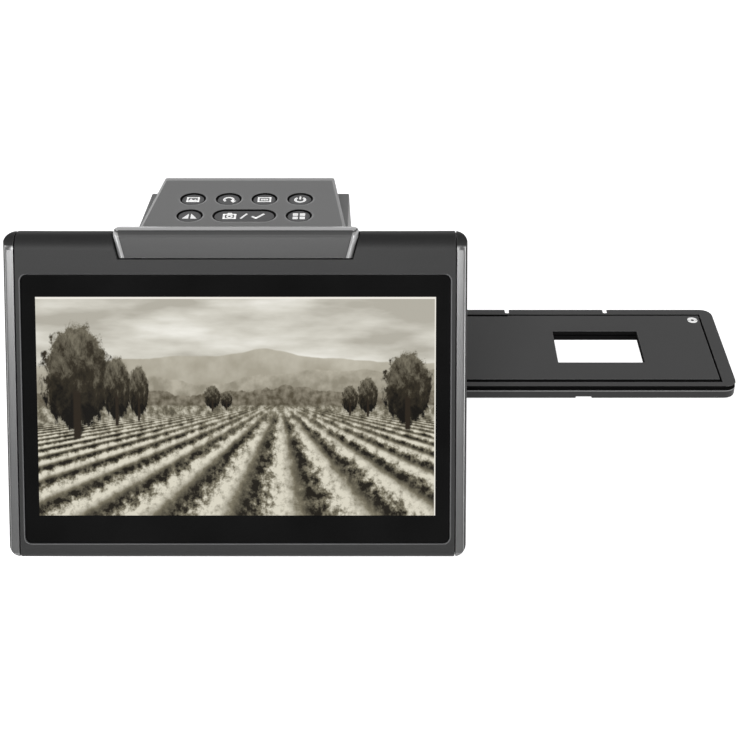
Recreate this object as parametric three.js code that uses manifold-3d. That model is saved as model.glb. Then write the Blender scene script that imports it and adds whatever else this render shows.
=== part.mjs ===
// Film and slide scanner: a narrow tower with a button deck, a tilting display hung on a hinge in
// front of its top edge, and a film tray that slides through the tower from side to side.
// Millimetres, +Z up, +X to the user's right, +Y away from the user.
// The origin lies under the middle of the front foot strip, in the machine's mid-plane.
import * as THREE from 'three';
import { mergeVertices } from 'three/addons/utils/BufferGeometryUtils.js';
import Module from 'manifold-3d';

const wasm = await Module();
wasm.setup();

// Shared values
const wall = 2.2;
const boardThickness = 1.6;
const slidingGap = 0.4;
const seatGap = 0.3;
const overrun = 5;
const arcStepDegrees = 18;
const coarseArcStepDegrees = 30;
const rodSides = 16;
const fineRodSides = 24;
const smallRodSides = 10;

// Hinge axis, which runs along X
const hingeHeight = 132;
const hingeSetback = 8;

// Display housing
const displayWidth = 178.6;
const displayHeight = 127.2;
const displayDepth = 15;
const displayRestTiltDegrees = 28.4;
const displayTopCornerRadius = 4.5;
const displayBottomCornerRadius = 5.5;
const displayBottomEdgeRadius = 2.2;
const displayFrontPlate = 3.2;
const displayFrameDepth = 8.5;
const partingGap = 0.3;

// Side trims of the display
const trimWidth = 4.1;
const trimRound = 1.6;

// Cover glass and screen module
const glassWidth = 165.2;
const glassTopMargin = 17;
const glassBottomMargin = 5.9;
const glassCornerRadius = 2.2;
const glassThickness = 1.2;
const glassSink = 0.4;
const glassLedge = 2.6;
const screenWidth = 163.6;
const screenHeight = 97.5;
const screenTopMargin = 20.5;
const screenThickness = 3;
const displayBoardWidth = 92;
const displayBoardHeight = 48;
const displayBoardDrop = 52;
const displayPostRadius = 2.6;

// Hinge between tower and display
const hingeCoverEndReach = 6.6;
const hingeCoverTaper = 2.75;
const hingeCoverHeight = 10.4;
const hingeCoverTop = 9.2;
const hingeCoverFrontRound = 3.2;
const hingeCoverCrown = 10.6;
const hingeCoverTurnDegrees = 60;
const hingeCoverInnerRadius = 6;
const hingeCoverCornerRadius = 2;
const hingeCoverEndWall = 1.6;
const hingeCoverBackDegrees = 93;
const knuckleRadius = 4.6;
const knuckleWidth = 72;
const troughGap = 0.6;
const hingePinRadius = 1.6;
const hingePinOverhang = 0.2;
const bracketWidth = 4;
const bracketPlay = 1;
const bracketEyeRadius = 4;
const bracketPlate = 2;
const bracketLength = 26;
const bracketInset = 1.3;
const tongueTop = 1.2;
const tongueThickness = 3.4;

// Tower and base
const baseWidth = 92;
const baseCornerRadius = 6;
const towerFrontSetback = 9.5;
const towerTopWidth = 85.6;
const towerTopMargin = 0.6;
const towerCornerRadius = 1;
const deckDrop = 5.1;
const fairingReach = 22;
const shoulderStep = 0.6;
const shoulderDrop = 8.65;
const floorThickness = 2.5;
const floorChamfer = 1;
const splitGap = 0.3;

// Foot strips and the low toe that carries the front one
const footLength = 76;
const footDepth = 6;
const footThickness = 3;
const footRecess = 0.5;
const rearFootInset = 12;
const toeWidth = 84;
const toeReach = 8;
const toeThickness = 5;
const toeCornerRadius = 8;

// Button deck
const deckFrontWidth = 85.4;
const deckRearWidth = 73;
const deckFrontMargin = 1;
const deckDepth = 51.2;
const deckCornerRadius = 0.8;
const deckPlate = 2.2;
const deckWall = 2;
const deckEdgeChamfer = 0.35;
const deckRearRound = 3;
const deckRearDrop = 0.9;
const deckDraft = 0.9;
const deckRim = 3;

// Buttons, their board and the rubber key mat between them
const buttonSetback = 23;
const buttonPitch = 15;
const buttonRowPitch = 14.8;
const buttonRadius = 4.7;
const pillWidth = 24.8;
const buttonClearance = 0.3;
const buttonSink = 0.5;
const buttonTravel = 0.8;
const buttonFlange = 1.2;
const buttonFlangeThickness = 1;
const dishWidth = 0.5;
const dishDepth = 0.6;
const stemRadius = 1.6;
const stemLength = 1.5;
const matThickness = 0.8;
const domeRadius = 3;
const domeTopRadius = 1.8;
const domeHeight = 2.5;
const buttonBoardMargin = 11.5;
const buttonPostRadius = 2;
const buttonPostInset = 3;
const buttonPostSpan = 24;

// Optical axis and film tray
const trayFrontRoom = 5.4;
const trayRearRoom = 8.9;
const trayDrop = 74.3;
const trayWindowReach = 152.6;
const windowWidth = 37.7;
const windowDepth = 25.2;
const windowFlare = 2;
const windowFlareHeight = 3;
const trayDepth = 62.2;
const trayRightReach = 55.4;
const trayLength = 193;
const trayThickness = 6.2;
const trayCornerRadius = 5;
const trayFrameThickness = 2.2;
const trayLipThickness = 0.7;
const trayLipWidth = 1.3;
const trayShadowGap = 1.1;
const lidLength = 142;
const lidRearRim = 4.2;
const lidRightRim = 5.8;
const lidFrontRim = 3.4;
const lidThickness = 1.8;
const lidSink = 0.1;
const lidGap = 0.8;
const lidFrontGap = 2;
const lidReliefStart = 8;
const lidReliefDepth = 1.2;
const lidPinRadius = 0.45;
const lidPinLength = 2;
const filmChannelWidth = 35.4;
const filmChannelDepth = 0.6;
const detentRadius = 0.9;
const detentDepth = 3;
const detentFirstOffset = -38;
const detentSecondOffset = 6.8;
const pullNotchWidth = 6.6;
const pullNotchOffset = -9.6;
const pullNotchHeight = 1;

// Guides above and below the tray
const guideWidth = 66;
const guideFloor = 2;
const guideWall = 2.2;
const gateThickness = 2;
const gateMargin = 4.5;
const lampMargin = 3;

// Camera tower over the film gate
const cameraHousingWidth = 50;
const cameraHousingDepth = 44;
const cameraHousingHeight = 46;
const cameraWall = 2;
const lensBarrelRadius = 8.9;
const lensBoreRadius = 6;
const lensBarrelLength = 16;
const lensFlangeRadius = 11;
const lensFlangeThickness = 1.5;
const lensGlassThickness = 3;
const lensGlassDrop = 10;
const sensorBoardSize = 38;
const sensorPostHeight = 3;
const sensorPostRadius = 1.8;
const sensorPostInset = 3;
const sensorWidth = 8;
const sensorDepth = 6;
const sensorThickness = 1.2;

// Light box under the film gate
const lightBoxWidth = 52;
const lightBoxDepth = 42;
const lightBoxHeight = 19;
const lightBoxWall = 1.6;
const diffuserThickness = 2;
const diffuserDrop = 1.3;
const diffuserLedge = 1.5;
const ledColumns = 4;
const ledRows = 3;
const ledSize = 2.8;
const ledThickness = 0.9;
const ledPitch = 10;

// Main board, its sockets and the port panel
const mainBoardWidth = 58;
const mainBoardFrontRoom = 9.8;
const mainBoardHeight = 14;
const mainPostRadius = 2.6;
const mainPostInset = 4;
const panelWidth = 78;
const panelHeight = 13;
const panelBase = 12.4;
const usbWidth = 9;
const usbHeight = 3.3;
const hdmiWidth = 11.2;
const hdmiHeight = 3.6;
const sdWidth = 26;
const sdHeight = 3;
const sdLength = 26;
const socketLength = 8;
const socketWall = 0.5;
const usbOffset = -22;
const hdmiOffset = -7;
const sdOffset = 14;
const processorSize = 14;
const processorThickness = 1.3;
const memoryWidth = 12;
const memoryDepth = 8;
const memoryThickness = 1;

// Screws
const columnRadius = 3.6;
const columnSpan = 76;
const columnInset = 4.6;
const screwHeadRadius = 2.5;
const screwHeadHeight = 2;
const screwShankRadius = 1.3;
const baseScrewLength = 16;
const columnGrip = 9;
const displayScrewLength = 7;
const displayScrewInset = 5;
const displayBossRadius = 3.6;

// Leaf spring that drops into the notches of the tray
const springThickness = 0.5;
const springWidth = 2.6;
const springLength = 24;
const springNoseRadius = 0.8;
const noseWindow = 4;

// Places worked out from the values above
const hingeCentre = new THREE.Vector3(0, hingeSetback, hingeHeight);
const radians = THREE.MathUtils.degToRad;
const towerFront = hingeSetback + towerFrontSetback;
const deckTop = hingeHeight - deckDrop;
const shoulderFrontY = hingeSetback + fairingReach;
const shoulderFrontZ = deckTop - shoulderStep;
const shoulderRearZ = deckTop - shoulderDrop;
const deckFront = shoulderFrontY + deckFrontMargin;
const deckRear = deckFront + deckDepth;
const towerTopRear = deckRear + towerTopMargin;
const buttonY = deckFront + buttonSetback;
const buttonBoardWidth = 3 * buttonPitch + 2 * buttonBoardMargin;
const buttonBoardDepth = buttonPostSpan + 2 * buttonPostInset;
const trayTop = hingeHeight - trayDrop;
const trayBottom = trayTop - trayThickness;
const trayFront = towerFront + trayFrontRoom;
const trayRear = trayFront + trayDepth;
const opticalY = (trayFront + trayRear) / 2;
const baseRear = trayRear + trayRearRoom;
const trayRight = trayWindowReach + trayRightReach;
const trayLeft = trayRight - trayLength;
const slotBottom = trayBottom - 2 * slidingGap;
const slotTop = trayTop + 2 * slidingGap;
const slotFront = trayFront - 2 * slidingGap;
const slotRear = trayRear + 2 * slidingGap;
const splitHeight = (trayTop + trayBottom) / 2;
const baseBottom = footThickness - footRecess;
const floorTop = baseBottom + floorThickness;
const displayHalfDepth = displayDepth / 2;
const displayTop = displayHalfDepth;
const displayBottom = displayTop - displayHeight;
const hingePinLength = knuckleWidth + 2 * (bracketPlay + bracketWidth + hingePinOverhang);
const hingeCoverTopWidth = hingePinLength + 2 * hingeCoverEndReach;
const hingeCoverBottomWidth = hingeCoverTopWidth - 2 * hingeCoverTaper;

// Colours, close to the plastics and metals of the real pieces
function finish(colour, roughness, metalness = 0) {
  return new THREE.MeshStandardMaterial({ color: colour, roughness, metalness });
}
const housingGray = () => finish(0x6e6e6e, 0.55);
const frameGray = () => finish(0x4c4c4c, 0.6);
const trimGray = () => finish(0x9a9a9a, 0.35);
const buttonBlack = () => finish(0x38383a, 0.5);
const trayBlack = () => finish(0x454545, 0.55);
const glassBlack = () => finish(0x1c1c1e, 0.1);
const screenBlack = () => finish(0x2a2724, 0.3);
const innerBlack = () => finish(0x222222, 0.7);
const opalWhite = () => finish(0xeeeeea, 0.5);
const boardGreen = () => finish(0x1f5a38, 0.5);
const chipBlack = () => finish(0x1a1a1a, 0.45);
const steel = () => finish(0xb8b8b8, 0.3, 1);
const rubber = () => finish(0x232323, 0.9);
const lensGlass = () => finish(0x30384a, 0.05);

// Solids out of three.js geometries
function solidOf(geometry) {
  geometry.deleteAttribute('normal');
  geometry.deleteAttribute('uv');
  const merged = mergeVertices(geometry);
  return new wasm.Manifold(new wasm.Mesh({
    numProp: 3,
    vertProperties: new Float32Array(merged.attributes.position.array),
    triVerts: new Uint32Array(merged.index.array),
  }));
}

function geometryOf(solid) {
  const mesh = solid.getMesh();
  const geometry = new THREE.BufferGeometry();
  geometry.setAttribute('position', new THREE.BufferAttribute(new Float32Array(mesh.vertProperties), 3));
  geometry.setIndex(new THREE.BufferAttribute(new Uint32Array(mesh.triVerts), 1));
  geometry.computeVertexNormals();
  return geometry;
}

function block(x0, x1, y0, y1, z0, z1) {
  const geometry = new THREE.BoxGeometry(x1 - x0, y1 - y0, z1 - z0);
  geometry.translate((x0 + x1) / 2, (y0 + y1) / 2, (z0 + z1) / 2);
  return solidOf(geometry);
}

function extrusion(outline, depth) {
  return new THREE.ExtrudeGeometry(new THREE.Shape(outline), { depth, bevelEnabled: false });
}

// Outline in X and Y, extruded upwards
function slab(outline, z0, z1) {
  return solidOf(extrusion(outline, z1 - z0).translate(0, 0, z0));
}

// Outline in Y and Z, extruded along X
function sidePrism(outline, x0, x1) {
  const turn = new THREE.Matrix4().makeBasis(
    new THREE.Vector3(0, 1, 0), new THREE.Vector3(0, 0, 1), new THREE.Vector3(1, 0, 0));
  return solidOf(extrusion(outline, x1 - x0).applyMatrix4(turn).translate(x0, 0, 0));
}

// Outline in X and Z, extruded along Y
function frontPrism(outline, y0, y1) {
  return solidOf(extrusion(outline, y1 - y0).rotateX(Math.PI / 2).translate(0, y1, 0));
}

function rodX(radius, x0, x1, y, z, sides = rodSides) {
  const geometry = new THREE.CylinderGeometry(radius, radius, x1 - x0, sides).rotateZ(Math.PI / 2);
  return solidOf(geometry.translate((x0 + x1) / 2, y, z));
}

function rodY(radius, y0, y1, x, z, sides = rodSides) {
  const geometry = new THREE.CylinderGeometry(radius, radius, y1 - y0, sides);
  return solidOf(geometry.translate(x, (y0 + y1) / 2, z));
}

function rodZ(radius, z0, z1, x, y, sides = rodSides, topRadius = radius) {
  const geometry = new THREE.CylinderGeometry(topRadius, radius, z1 - z0, sides).rotateX(Math.PI / 2);
  return solidOf(geometry.translate(x, y, (z0 + z1) / 2));
}

function arc(cx, cy, radius, fromDegrees, toDegrees, stepDegrees = arcStepDegrees) {
  const steps = Math.max(1, Math.round(Math.abs(toDegrees - fromDegrees) / stepDegrees));
  const points = [];
  for (let i = 0; i <= steps; i += 1) {
    const angle = radians(fromDegrees + (toDegrees - fromDegrees) * i / steps);
    points.push(new THREE.Vector2(cx + radius * Math.cos(angle), cy + radius * Math.sin(angle)));
  }
  return points;
}

// Rounded rectangle with one radius for its lower (or front) corners and one for its upper ones
function roundedRect(x0, x1, y0, y1, lowRadius, highRadius = lowRadius) {
  return [
    ...arc(x1 - lowRadius, y0 + lowRadius, lowRadius, -90, 0),
    ...arc(x1 - highRadius, y1 - highRadius, highRadius, 0, 90),
    ...arc(x0 + highRadius, y1 - highRadius, highRadius, 90, 180),
    ...arc(x0 + lowRadius, y0 + lowRadius, lowRadius, 180, 270),
  ];
}

// Closed skin through convex rings with equal counts of points, from the lowest up
function loft(rings) {
  const count = rings[0].outline.length;
  const positions = rings.flatMap((ring) => ring.outline.flatMap((p) => [p.x, p.y, ring.z]));
  const indices = [];
  for (let r = 0; r + 1 < rings.length; r += 1) {
    for (let i = 0; i < count; i += 1) {
      const a = r * count + i;
      const b = r * count + (i + 1) % count;
      indices.push(a, b, b + count, a, b + count, a + count);
    }
  }
  const last = (rings.length - 1) * count;
  for (let i = 1; i + 1 < count; i += 1) {
    indices.push(0, i + 1, i, last, last + i, last + i + 1);
  }
  const geometry = new THREE.BufferGeometry();
  geometry.setAttribute('position', new THREE.Float32BufferAttribute(positions, 3));
  geometry.setIndex(indices);
  return solidOf(geometry);
}

function sum(solids) {
  return solids.reduce((total, solid) => total.add(solid));
}

function piece(group, name, solid, material) {
  const mesh = new THREE.Mesh(geometryOf(solid), material);
  mesh.name = name;
  group.add(mesh);
}

function point(x, y) {
  return new THREE.Vector2(x, y);
}

const scanner = new THREE.Group();
const displayGroup = new THREE.Group();
displayGroup.position.copy(hingeCentre);
displayGroup.rotation.x = -radians(displayRestTiltDegrees);
scanner.add(displayGroup);

// Rear screws join the base to the tower through columns beside the rear wall
const screwPlaces = [-columnSpan / 2, columnSpan / 2].map((x) => point(x, baseRear - columnInset));
const screwHeadZ = splitHeight - columnGrip;

// Base shell: floor, walls, toe, posts and the lower half of the tray slot
function baseOutline(inset) {
  const half = baseWidth / 2 - inset;
  return roundedRect(-half, half, towerFront + inset, baseRear - inset, baseCornerRadius - inset);
}

function toeSolid() {
  const outline = roundedRect(
    -toeWidth / 2, toeWidth / 2, -toeReach, towerFront + wall, toeCornerRadius, wall);
  return slab(outline, baseBottom, baseBottom + toeThickness);
}

function footPlaces() {
  return [0, baseRear - rearFootInset];
}

function footSolid(y, margin, z0, z1) {
  const half = footLength / 2 + margin;
  const deep = footDepth / 2 + margin;
  return slab(roundedRect(-half, half, y - deep, y + deep, deep), z0, z1);
}

const guideBottom = trayBottom - slidingGap - guideFloor;
const guidePostX = guideWidth / 2;
const guidePostY = trayDepth / 2 - mainPostRadius;

const boardFront = towerFront + wall + mainBoardFrontRoom;
const boardRear = baseRear - wall - seatGap;

function mainBoardCorners() {
  const x = mainBoardWidth / 2 - mainPostInset;
  const y0 = boardFront + mainPostInset;
  const y1 = boardRear - mainPostInset;
  return [point(-x, y0), point(x, y0), point(-x, y1), point(x, y1)];
}

function addBaseShell() {
  const inner = slab(baseOutline(wall), floorTop, splitHeight + overrun);
  let shell = loft([
    { z: baseBottom, outline: baseOutline(floorChamfer) },
    { z: baseBottom + floorChamfer, outline: baseOutline(0) },
    { z: splitHeight - splitGap / 2, outline: baseOutline(0) },
  ]).subtract(inner).add(toeSolid().subtract(inner));
  for (const corner of mainBoardCorners()) {
    shell = shell.add(
      rodZ(mainPostRadius, footThickness, mainBoardHeight, corner.x, corner.y, smallRodSides));
  }
  for (const place of screwPlaces) {
    const column = rodZ(columnRadius, baseBottom, splitHeight - splitGap / 2, place.x, place.y);
    const access = rodZ(screwHeadRadius + seatGap, 0, screwHeadZ, place.x, place.y);
    const shank = rodZ(screwShankRadius + seatGap, 0, splitHeight, place.x, place.y, smallRodSides);
    shell = shell.add(column).subtract(access).subtract(shank);
  }
  const slot = block(-baseWidth, baseWidth, slotFront, slotRear, slotBottom, splitHeight + overrun);
  shell = shell.subtract(slot).subtract(panelSolid(seatGap));
  for (const y of footPlaces()) {
    shell = shell.subtract(footSolid(y, seatGap, 0, footThickness));
  }
  for (const x of [-1, 1]) {
    for (const y of [-1, 1]) {
      const post = rodZ(mainPostRadius, footThickness, guideBottom,
        x * guidePostX, opticalY + y * guidePostY, smallRodSides);
      shell = shell.add(post);
    }
  }
  piece(scanner, 'base_shell', shell, housingGray());
}

function addFeet() {
  const [front, rear] = footPlaces();
  piece(scanner, 'front_foot', footSolid(front, 0, 0, footThickness), rubber());
  piece(scanner, 'rear_foot', footSolid(rear, 0, 0, footThickness), rubber());
}

// Tower shell: drafted walls, sloping shoulders, fairing, tongue and hinge knuckle
function towerWalls(inset) {
  const ring = (z, width, rear, radius) => ({
    z,
    outline: roundedRect(-width / 2 + inset, width / 2 - inset, towerFront + inset, rear - inset, radius),
  });
  return loft([
    ring(splitHeight + splitGap / 2 - (inset ? overrun : 0), baseWidth, baseRear, baseCornerRadius),
    ring(shoulderRearZ, towerTopWidth, towerTopRear, towerCornerRadius),
    ring(hingeHeight + overrun, towerTopWidth, towerTopRear, towerCornerRadius),
  ]);
}

function towerProfile(drop) {
  return [
    point(towerFront - overrun, 0),
    point(baseRear + overrun, 0),
    point(baseRear + overrun, shoulderRearZ - drop),
    point(towerTopRear, shoulderRearZ - drop),
    point(shoulderFrontY, shoulderFrontZ - drop),
    point(towerFront, hingeHeight + tongueTop - drop),
    point(towerFront - overrun, hingeHeight + tongueTop - drop),
  ];
}

// Half width of the deck at a depth
function deckHalfWidth(y) {
  const part = (y - deckFront) / deckDepth;
  return (deckFrontWidth + (deckRearWidth - deckFrontWidth) * part) / 2;
}

function deckOutline(sideInset, frontInset, rearInset) {
  const y0 = deckFront + frontInset;
  const y1 = deckRear - rearInset;
  const front = deckHalfWidth(y0) - sideInset;
  const rear = deckHalfWidth(y1) - sideInset;
  const r = deckCornerRadius;
  return [
    ...arc(front - r, y0 + r, r, -90, 0),
    ...arc(rear - r, y1 - r, r, 0, 90),
    ...arc(-rear + r, y1 - r, r, 90, 180),
    ...arc(-front + r, y0 + r, r, 180, 270),
  ];
}

function addTowerShell() {
  const half = baseWidth;
  let shell = towerWalls(0).intersect(sidePrism(towerProfile(0), -half, half));
  shell = shell.subtract(towerWalls(wall).intersect(sidePrism(towerProfile(wall), -half, half)));
  shell = shell.subtract(slab(deckOutline(deckRim, deckRim, deckRim), shoulderRearZ - overrun, hingeHeight));
  for (const place of screwPlaces) {
    const bottom = splitHeight + splitGap / 2;
    const boss = rodZ(columnRadius, bottom, bottom + columnGrip, place.x, place.y).intersect(towerWalls(0));
    const holeTop = bottom + columnGrip - wall;
    const hole = rodZ(screwShankRadius + seatGap, 0, holeTop, place.x, place.y, smallRodSides);
    shell = shell.add(boss).subtract(hole);
  }
  shell = shell.subtract(block(-baseWidth, baseWidth, slotFront, slotRear, 0, slotTop));
  const tongue = block(-knuckleWidth / 2, knuckleWidth / 2, hingeSetback, towerFront + wall,
    hingeHeight + tongueTop - tongueThickness, hingeHeight + tongueTop);
  const knuckle = rodX(
    knuckleRadius, -knuckleWidth / 2, knuckleWidth / 2, hingeSetback, hingeHeight, fineRodSides);
  const bore = rodX(hingePinRadius + seatGap, -knuckleWidth, knuckleWidth, hingeSetback, hingeHeight);
  shell = shell.add(tongue).add(knuckle).subtract(bore);
  piece(scanner, 'tower_shell', shell, housingGray());
}

function addHingePin() {
  const half = hingePinLength / 2;
  piece(scanner, 'hinge_pin', rodX(hingePinRadius, -half, half, hingeSetback, hingeHeight), steel());
}

// Button deck and its seven buttons
const buttonRows = [1, -1].map((side) => buttonY + side * buttonRowPitch / 2);
const buttonPlaces = [
  { name: 'button_picture_mode', x: -1.5 * buttonPitch, y: buttonRows[0], width: 0 },
  { name: 'button_rotate', x: -0.5 * buttonPitch, y: buttonRows[0], width: 0 },
  { name: 'button_film_type', x: 0.5 * buttonPitch, y: buttonRows[0], width: 0 },
  { name: 'button_power', x: 1.5 * buttonPitch, y: buttonRows[0], width: 0 },
  { name: 'button_mirror', x: -1.5 * buttonPitch, y: buttonRows[1], width: 0 },
  { name: 'button_scan', x: 0, y: buttonRows[1], width: pillWidth - 2 * buttonRadius },
  { name: 'button_gallery', x: 1.5 * buttonPitch, y: buttonRows[1], width: 0 },
];

// Round or pill-shaped slice of a button; width is the distance between its two end arcs
function buttonSlice(button, radius, z0, z1, topRadius = radius) {
  const ends = button.width ? [-button.width / 2, button.width / 2] : [0];
  const cylinders = ends.map((dx) => rodZ(radius, z0, z1, button.x + dx, button.y, fineRodSides, topRadius));
  return sum(cylinders).hull();
}

function deckPosts() {
  const x = buttonBoardWidth / 2 - buttonPostInset;
  const y = buttonPostSpan / 2;
  return [point(-x, buttonY - y), point(x, buttonY - y), point(-x, buttonY + y), point(x, buttonY + y)];
}

const flangeTop = deckTop - deckPlate - seatGap;
const stemBottom = flangeTop - buttonFlangeThickness - stemLength;
const buttonBoardTop = stemBottom - buttonTravel - seatGap - domeHeight;

function addDeck() {
  const foot = shoulderRearZ - deckCornerRadius;
  const cover = loft([
    { z: foot, outline: deckOutline(-deckDraft, 0, -deckDraft / 2) },
    { z: deckTop - deckRearDrop, outline: deckOutline(0, 0, 0) },
    { z: deckTop, outline: deckOutline(deckEdgeChamfer, 0, deckRearRound) },
  ]);
  const cavity = slab(deckOutline(deckWall, deckWall, deckRearRound), foot - overrun, deckTop - deckPlate);
  const plug = slab(deckOutline(deckRim + seatGap, deckRim + seatGap, deckRim + seatGap), 0, hingeHeight);
  const below = sidePrism([
    point(towerFront - overrun, 0),
    point(baseRear, 0),
    point(baseRear, shoulderRearZ + seatGap),
    point(towerTopRear, shoulderRearZ + seatGap),
    point(shoulderFrontY, shoulderFrontZ + seatGap),
    point(towerFront - overrun, shoulderFrontZ + seatGap),
  ], -baseWidth, baseWidth).subtract(plug);
  let deck = cover.subtract(cavity).subtract(below);
  for (const post of deckPosts()) {
    deck = deck.add(
      rodZ(buttonPostRadius, buttonBoardTop, deckTop - deckPlate, post.x, post.y, smallRodSides));
  }
  for (const button of buttonPlaces) {
    const radius = buttonRadius + buttonClearance;
    const bottom = deckTop - dishDepth;
    deck = deck.subtract(buttonSlice(button, radius, bottom - overrun, deckTop + overrun));
    deck = deck.subtract(buttonSlice(button, radius, bottom, deckTop, radius + dishWidth));
  }
  piece(scanner, 'control_deck', deck, housingGray());
}

function addButtons() {
  for (const button of buttonPlaces) {
    const cap = buttonSlice(button, buttonRadius, flangeTop, deckTop - buttonSink);
    const flangeBottom = flangeTop - buttonFlangeThickness;
    const flange = buttonSlice(button, buttonRadius + buttonFlange, flangeBottom, flangeTop);
    const stem = rodZ(stemRadius, stemBottom, flangeTop, button.x, button.y, smallRodSides);
    piece(scanner, button.name, sum([cap, flange, stem]), buttonBlack());
  }
}

function addButtonBoard() {
  const half = buttonBoardWidth / 2;
  const deep = buttonBoardDepth / 2;
  const bottom = buttonBoardTop - boardThickness;
  const board = block(-half, half, buttonY - deep, buttonY + deep, bottom, buttonBoardTop);
  piece(scanner, 'button_board', board, boardGreen());
  const mat = block(
    -half, half, buttonY - deep, buttonY + deep, buttonBoardTop, buttonBoardTop + matThickness);
  const domes = buttonPlaces.map((button) => rodZ(
    domeRadius, buttonBoardTop, buttonBoardTop + domeHeight, button.x, button.y, rodSides, domeTopRadius));
  const posts = deckPosts().map((post) => rodZ(
    buttonPostRadius + seatGap, 0, hingeHeight, post.x, post.y, smallRodSides));
  piece(scanner, 'key_mat', mat.add(sum(domes)).subtract(sum(posts)), rubber());
}

// Guide under the tray, with its side walls, and the film gate over it
function addTrayGuides() {
  const half = guideWidth / 2;
  const front = trayFront - slidingGap;
  const rear = trayRear + slidingGap;
  const guideTop = trayTop + slidingGap;
  const apertureX = windowWidth / 2 + lampMargin;
  const apertureY = windowDepth / 2 + lampMargin;
  const floorZ = guideBottom + guideFloor;
  const channel = block(-half, half, front - guideWall, rear + guideWall, guideBottom, guideTop)
    .subtract(block(-half - overrun, half + overrun, front, rear, floorZ, guideTop + overrun))
    .subtract(block(-apertureX, apertureX, opticalY - apertureY, opticalY + apertureY, 0, guideTop))
    .subtract(block(springX - noseWindow / 2, springX + noseWindow / 2, rear - slidingGap, baseRear,
      floorZ, guideTop + overrun));
  piece(scanner, 'tray_guide', channel, innerBlack());
  const gateX = windowWidth / 2 + gateMargin;
  const gateY = windowDepth / 2 + gateMargin;
  const gate = block(-half, half, front - guideWall, rear + guideWall, guideTop, guideTop + gateThickness)
    .subtract(block(-gateX, gateX, opticalY - gateY, opticalY + gateY, 0, hingeHeight));
  piece(scanner, 'film_gate', gate, innerBlack());
}

// Camera: housing on the gate, lens barrel in its top and sensor board above
function addCamera() {
  const z0 = trayTop + slidingGap + gateThickness;
  const z1 = z0 + cameraHousingHeight;
  const half = cameraHousingWidth / 2;
  const deep = cameraHousingDepth / 2;
  const postX = sensorBoardSize / 2 - sensorPostInset;
  let housing = block(-half, half, opticalY - deep, opticalY + deep, z0, z1)
    .subtract(block(-half + cameraWall, half - cameraWall, opticalY - deep + cameraWall,
      opticalY + deep - cameraWall, z0 - overrun, z1 - cameraWall))
    .subtract(rodZ(lensBarrelRadius + seatGap, z0, z1 + overrun, 0, opticalY, fineRodSides));
  for (const x of [-postX, postX]) {
    for (const y of [-postX, postX]) {
      housing = housing.add(
        rodZ(sensorPostRadius, z1 - cameraWall, z1 + sensorPostHeight, x, opticalY + y, smallRodSides));
    }
  }
  piece(scanner, 'camera_housing', housing, innerBlack());
  const barrel = rodZ(lensBarrelRadius, z1 - lensBarrelLength, z1, 0, opticalY, fineRodSides)
    .add(rodZ(lensFlangeRadius, z1, z1 + lensFlangeThickness, 0, opticalY, fineRodSides))
    .subtract(rodZ(lensBoreRadius, z0, z1 + overrun, 0, opticalY, fineRodSides));
  piece(scanner, 'lens_barrel', barrel, chipBlack());
  const glassTop = z1 - lensGlassDrop;
  const glass = rodZ(
    lensBoreRadius - seatGap, glassTop - lensGlassThickness, glassTop, 0, opticalY, fineRodSides);
  piece(scanner, 'lens_glass', glass, lensGlass());
  const boardBottom = z1 + sensorPostHeight;
  const side = sensorBoardSize / 2;
  const board = block(
    -side, side, opticalY - side, opticalY + side, boardBottom, boardBottom + boardThickness);
  piece(scanner, 'sensor_board', board, boardGreen());
  const sensor = block(-sensorWidth / 2, sensorWidth / 2, opticalY - sensorDepth / 2,
    opticalY + sensorDepth / 2, boardBottom - sensorThickness, boardBottom);
  piece(scanner, 'image_sensor', sensor, chipBlack());
}

// Light box under the guide, with its lamp board, lamps and opal diffuser
function addLightBox() {
  const z1 = guideBottom;
  const z0 = z1 - lightBoxHeight;
  const half = lightBoxWidth / 2;
  const deep = lightBoxDepth / 2;
  const innerX = half - lightBoxWall;
  const innerY = deep - lightBoxWall;
  const inner = (inset, low, high) => block(-innerX + inset, innerX - inset,
    opticalY - innerY + inset, opticalY + innerY - inset, low, high);
  const diffuserBottom = z1 - diffuserDrop - diffuserThickness;
  const ledge = inner(0, diffuserBottom - diffuserLedge, diffuserBottom)
    .subtract(inner(diffuserLedge, z0, z1));
  const box = block(-half, half, opticalY - deep, opticalY + deep, z0, z1)
    .subtract(inner(0, z0 + lightBoxWall, z1 + overrun)).add(ledge);
  piece(scanner, 'light_box', box, opalWhite());
  piece(scanner, 'diffuser', inner(seatGap, diffuserBottom, diffuserBottom + diffuserThickness), opalWhite());
  const boardTop = z0 + lightBoxWall + boardThickness;
  const lamps = [inner(seatGap, z0 + lightBoxWall, boardTop)];
  for (let i = 0; i < ledColumns; i += 1) {
    for (let j = 0; j < ledRows; j += 1) {
      const x = (i - (ledColumns - 1) / 2) * ledPitch;
      const y = opticalY + (j - (ledRows - 1) / 2) * ledPitch;
      const r = ledSize / 2;
      lamps.push(block(x - r, x + r, y - r, y + r, boardTop, boardTop + ledThickness));
    }
  }
  piece(scanner, 'lamp_board', sum(lamps), boardGreen());
}

// Main board, sockets along its rear edge and the panel they open through
const boardTopZ = mainBoardHeight + boardThickness;
const sockets = [
  { name: 'usb_c_socket', x: usbOffset, width: usbWidth, height: usbHeight, length: socketLength },
  { name: 'hdmi_socket', x: hdmiOffset, width: hdmiWidth, height: hdmiHeight, length: socketLength },
  { name: 'sd_card_socket', x: sdOffset, width: sdWidth, height: sdHeight, length: sdLength },
];

function panelSolid(margin) {
  const half = panelWidth / 2 - columnRadius - wall + margin;
  return block(-half, half, baseRear - wall - (margin ? overrun : 0), baseRear + (margin ? overrun : 0),
    panelBase - margin, panelBase + panelHeight + margin);
}

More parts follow.
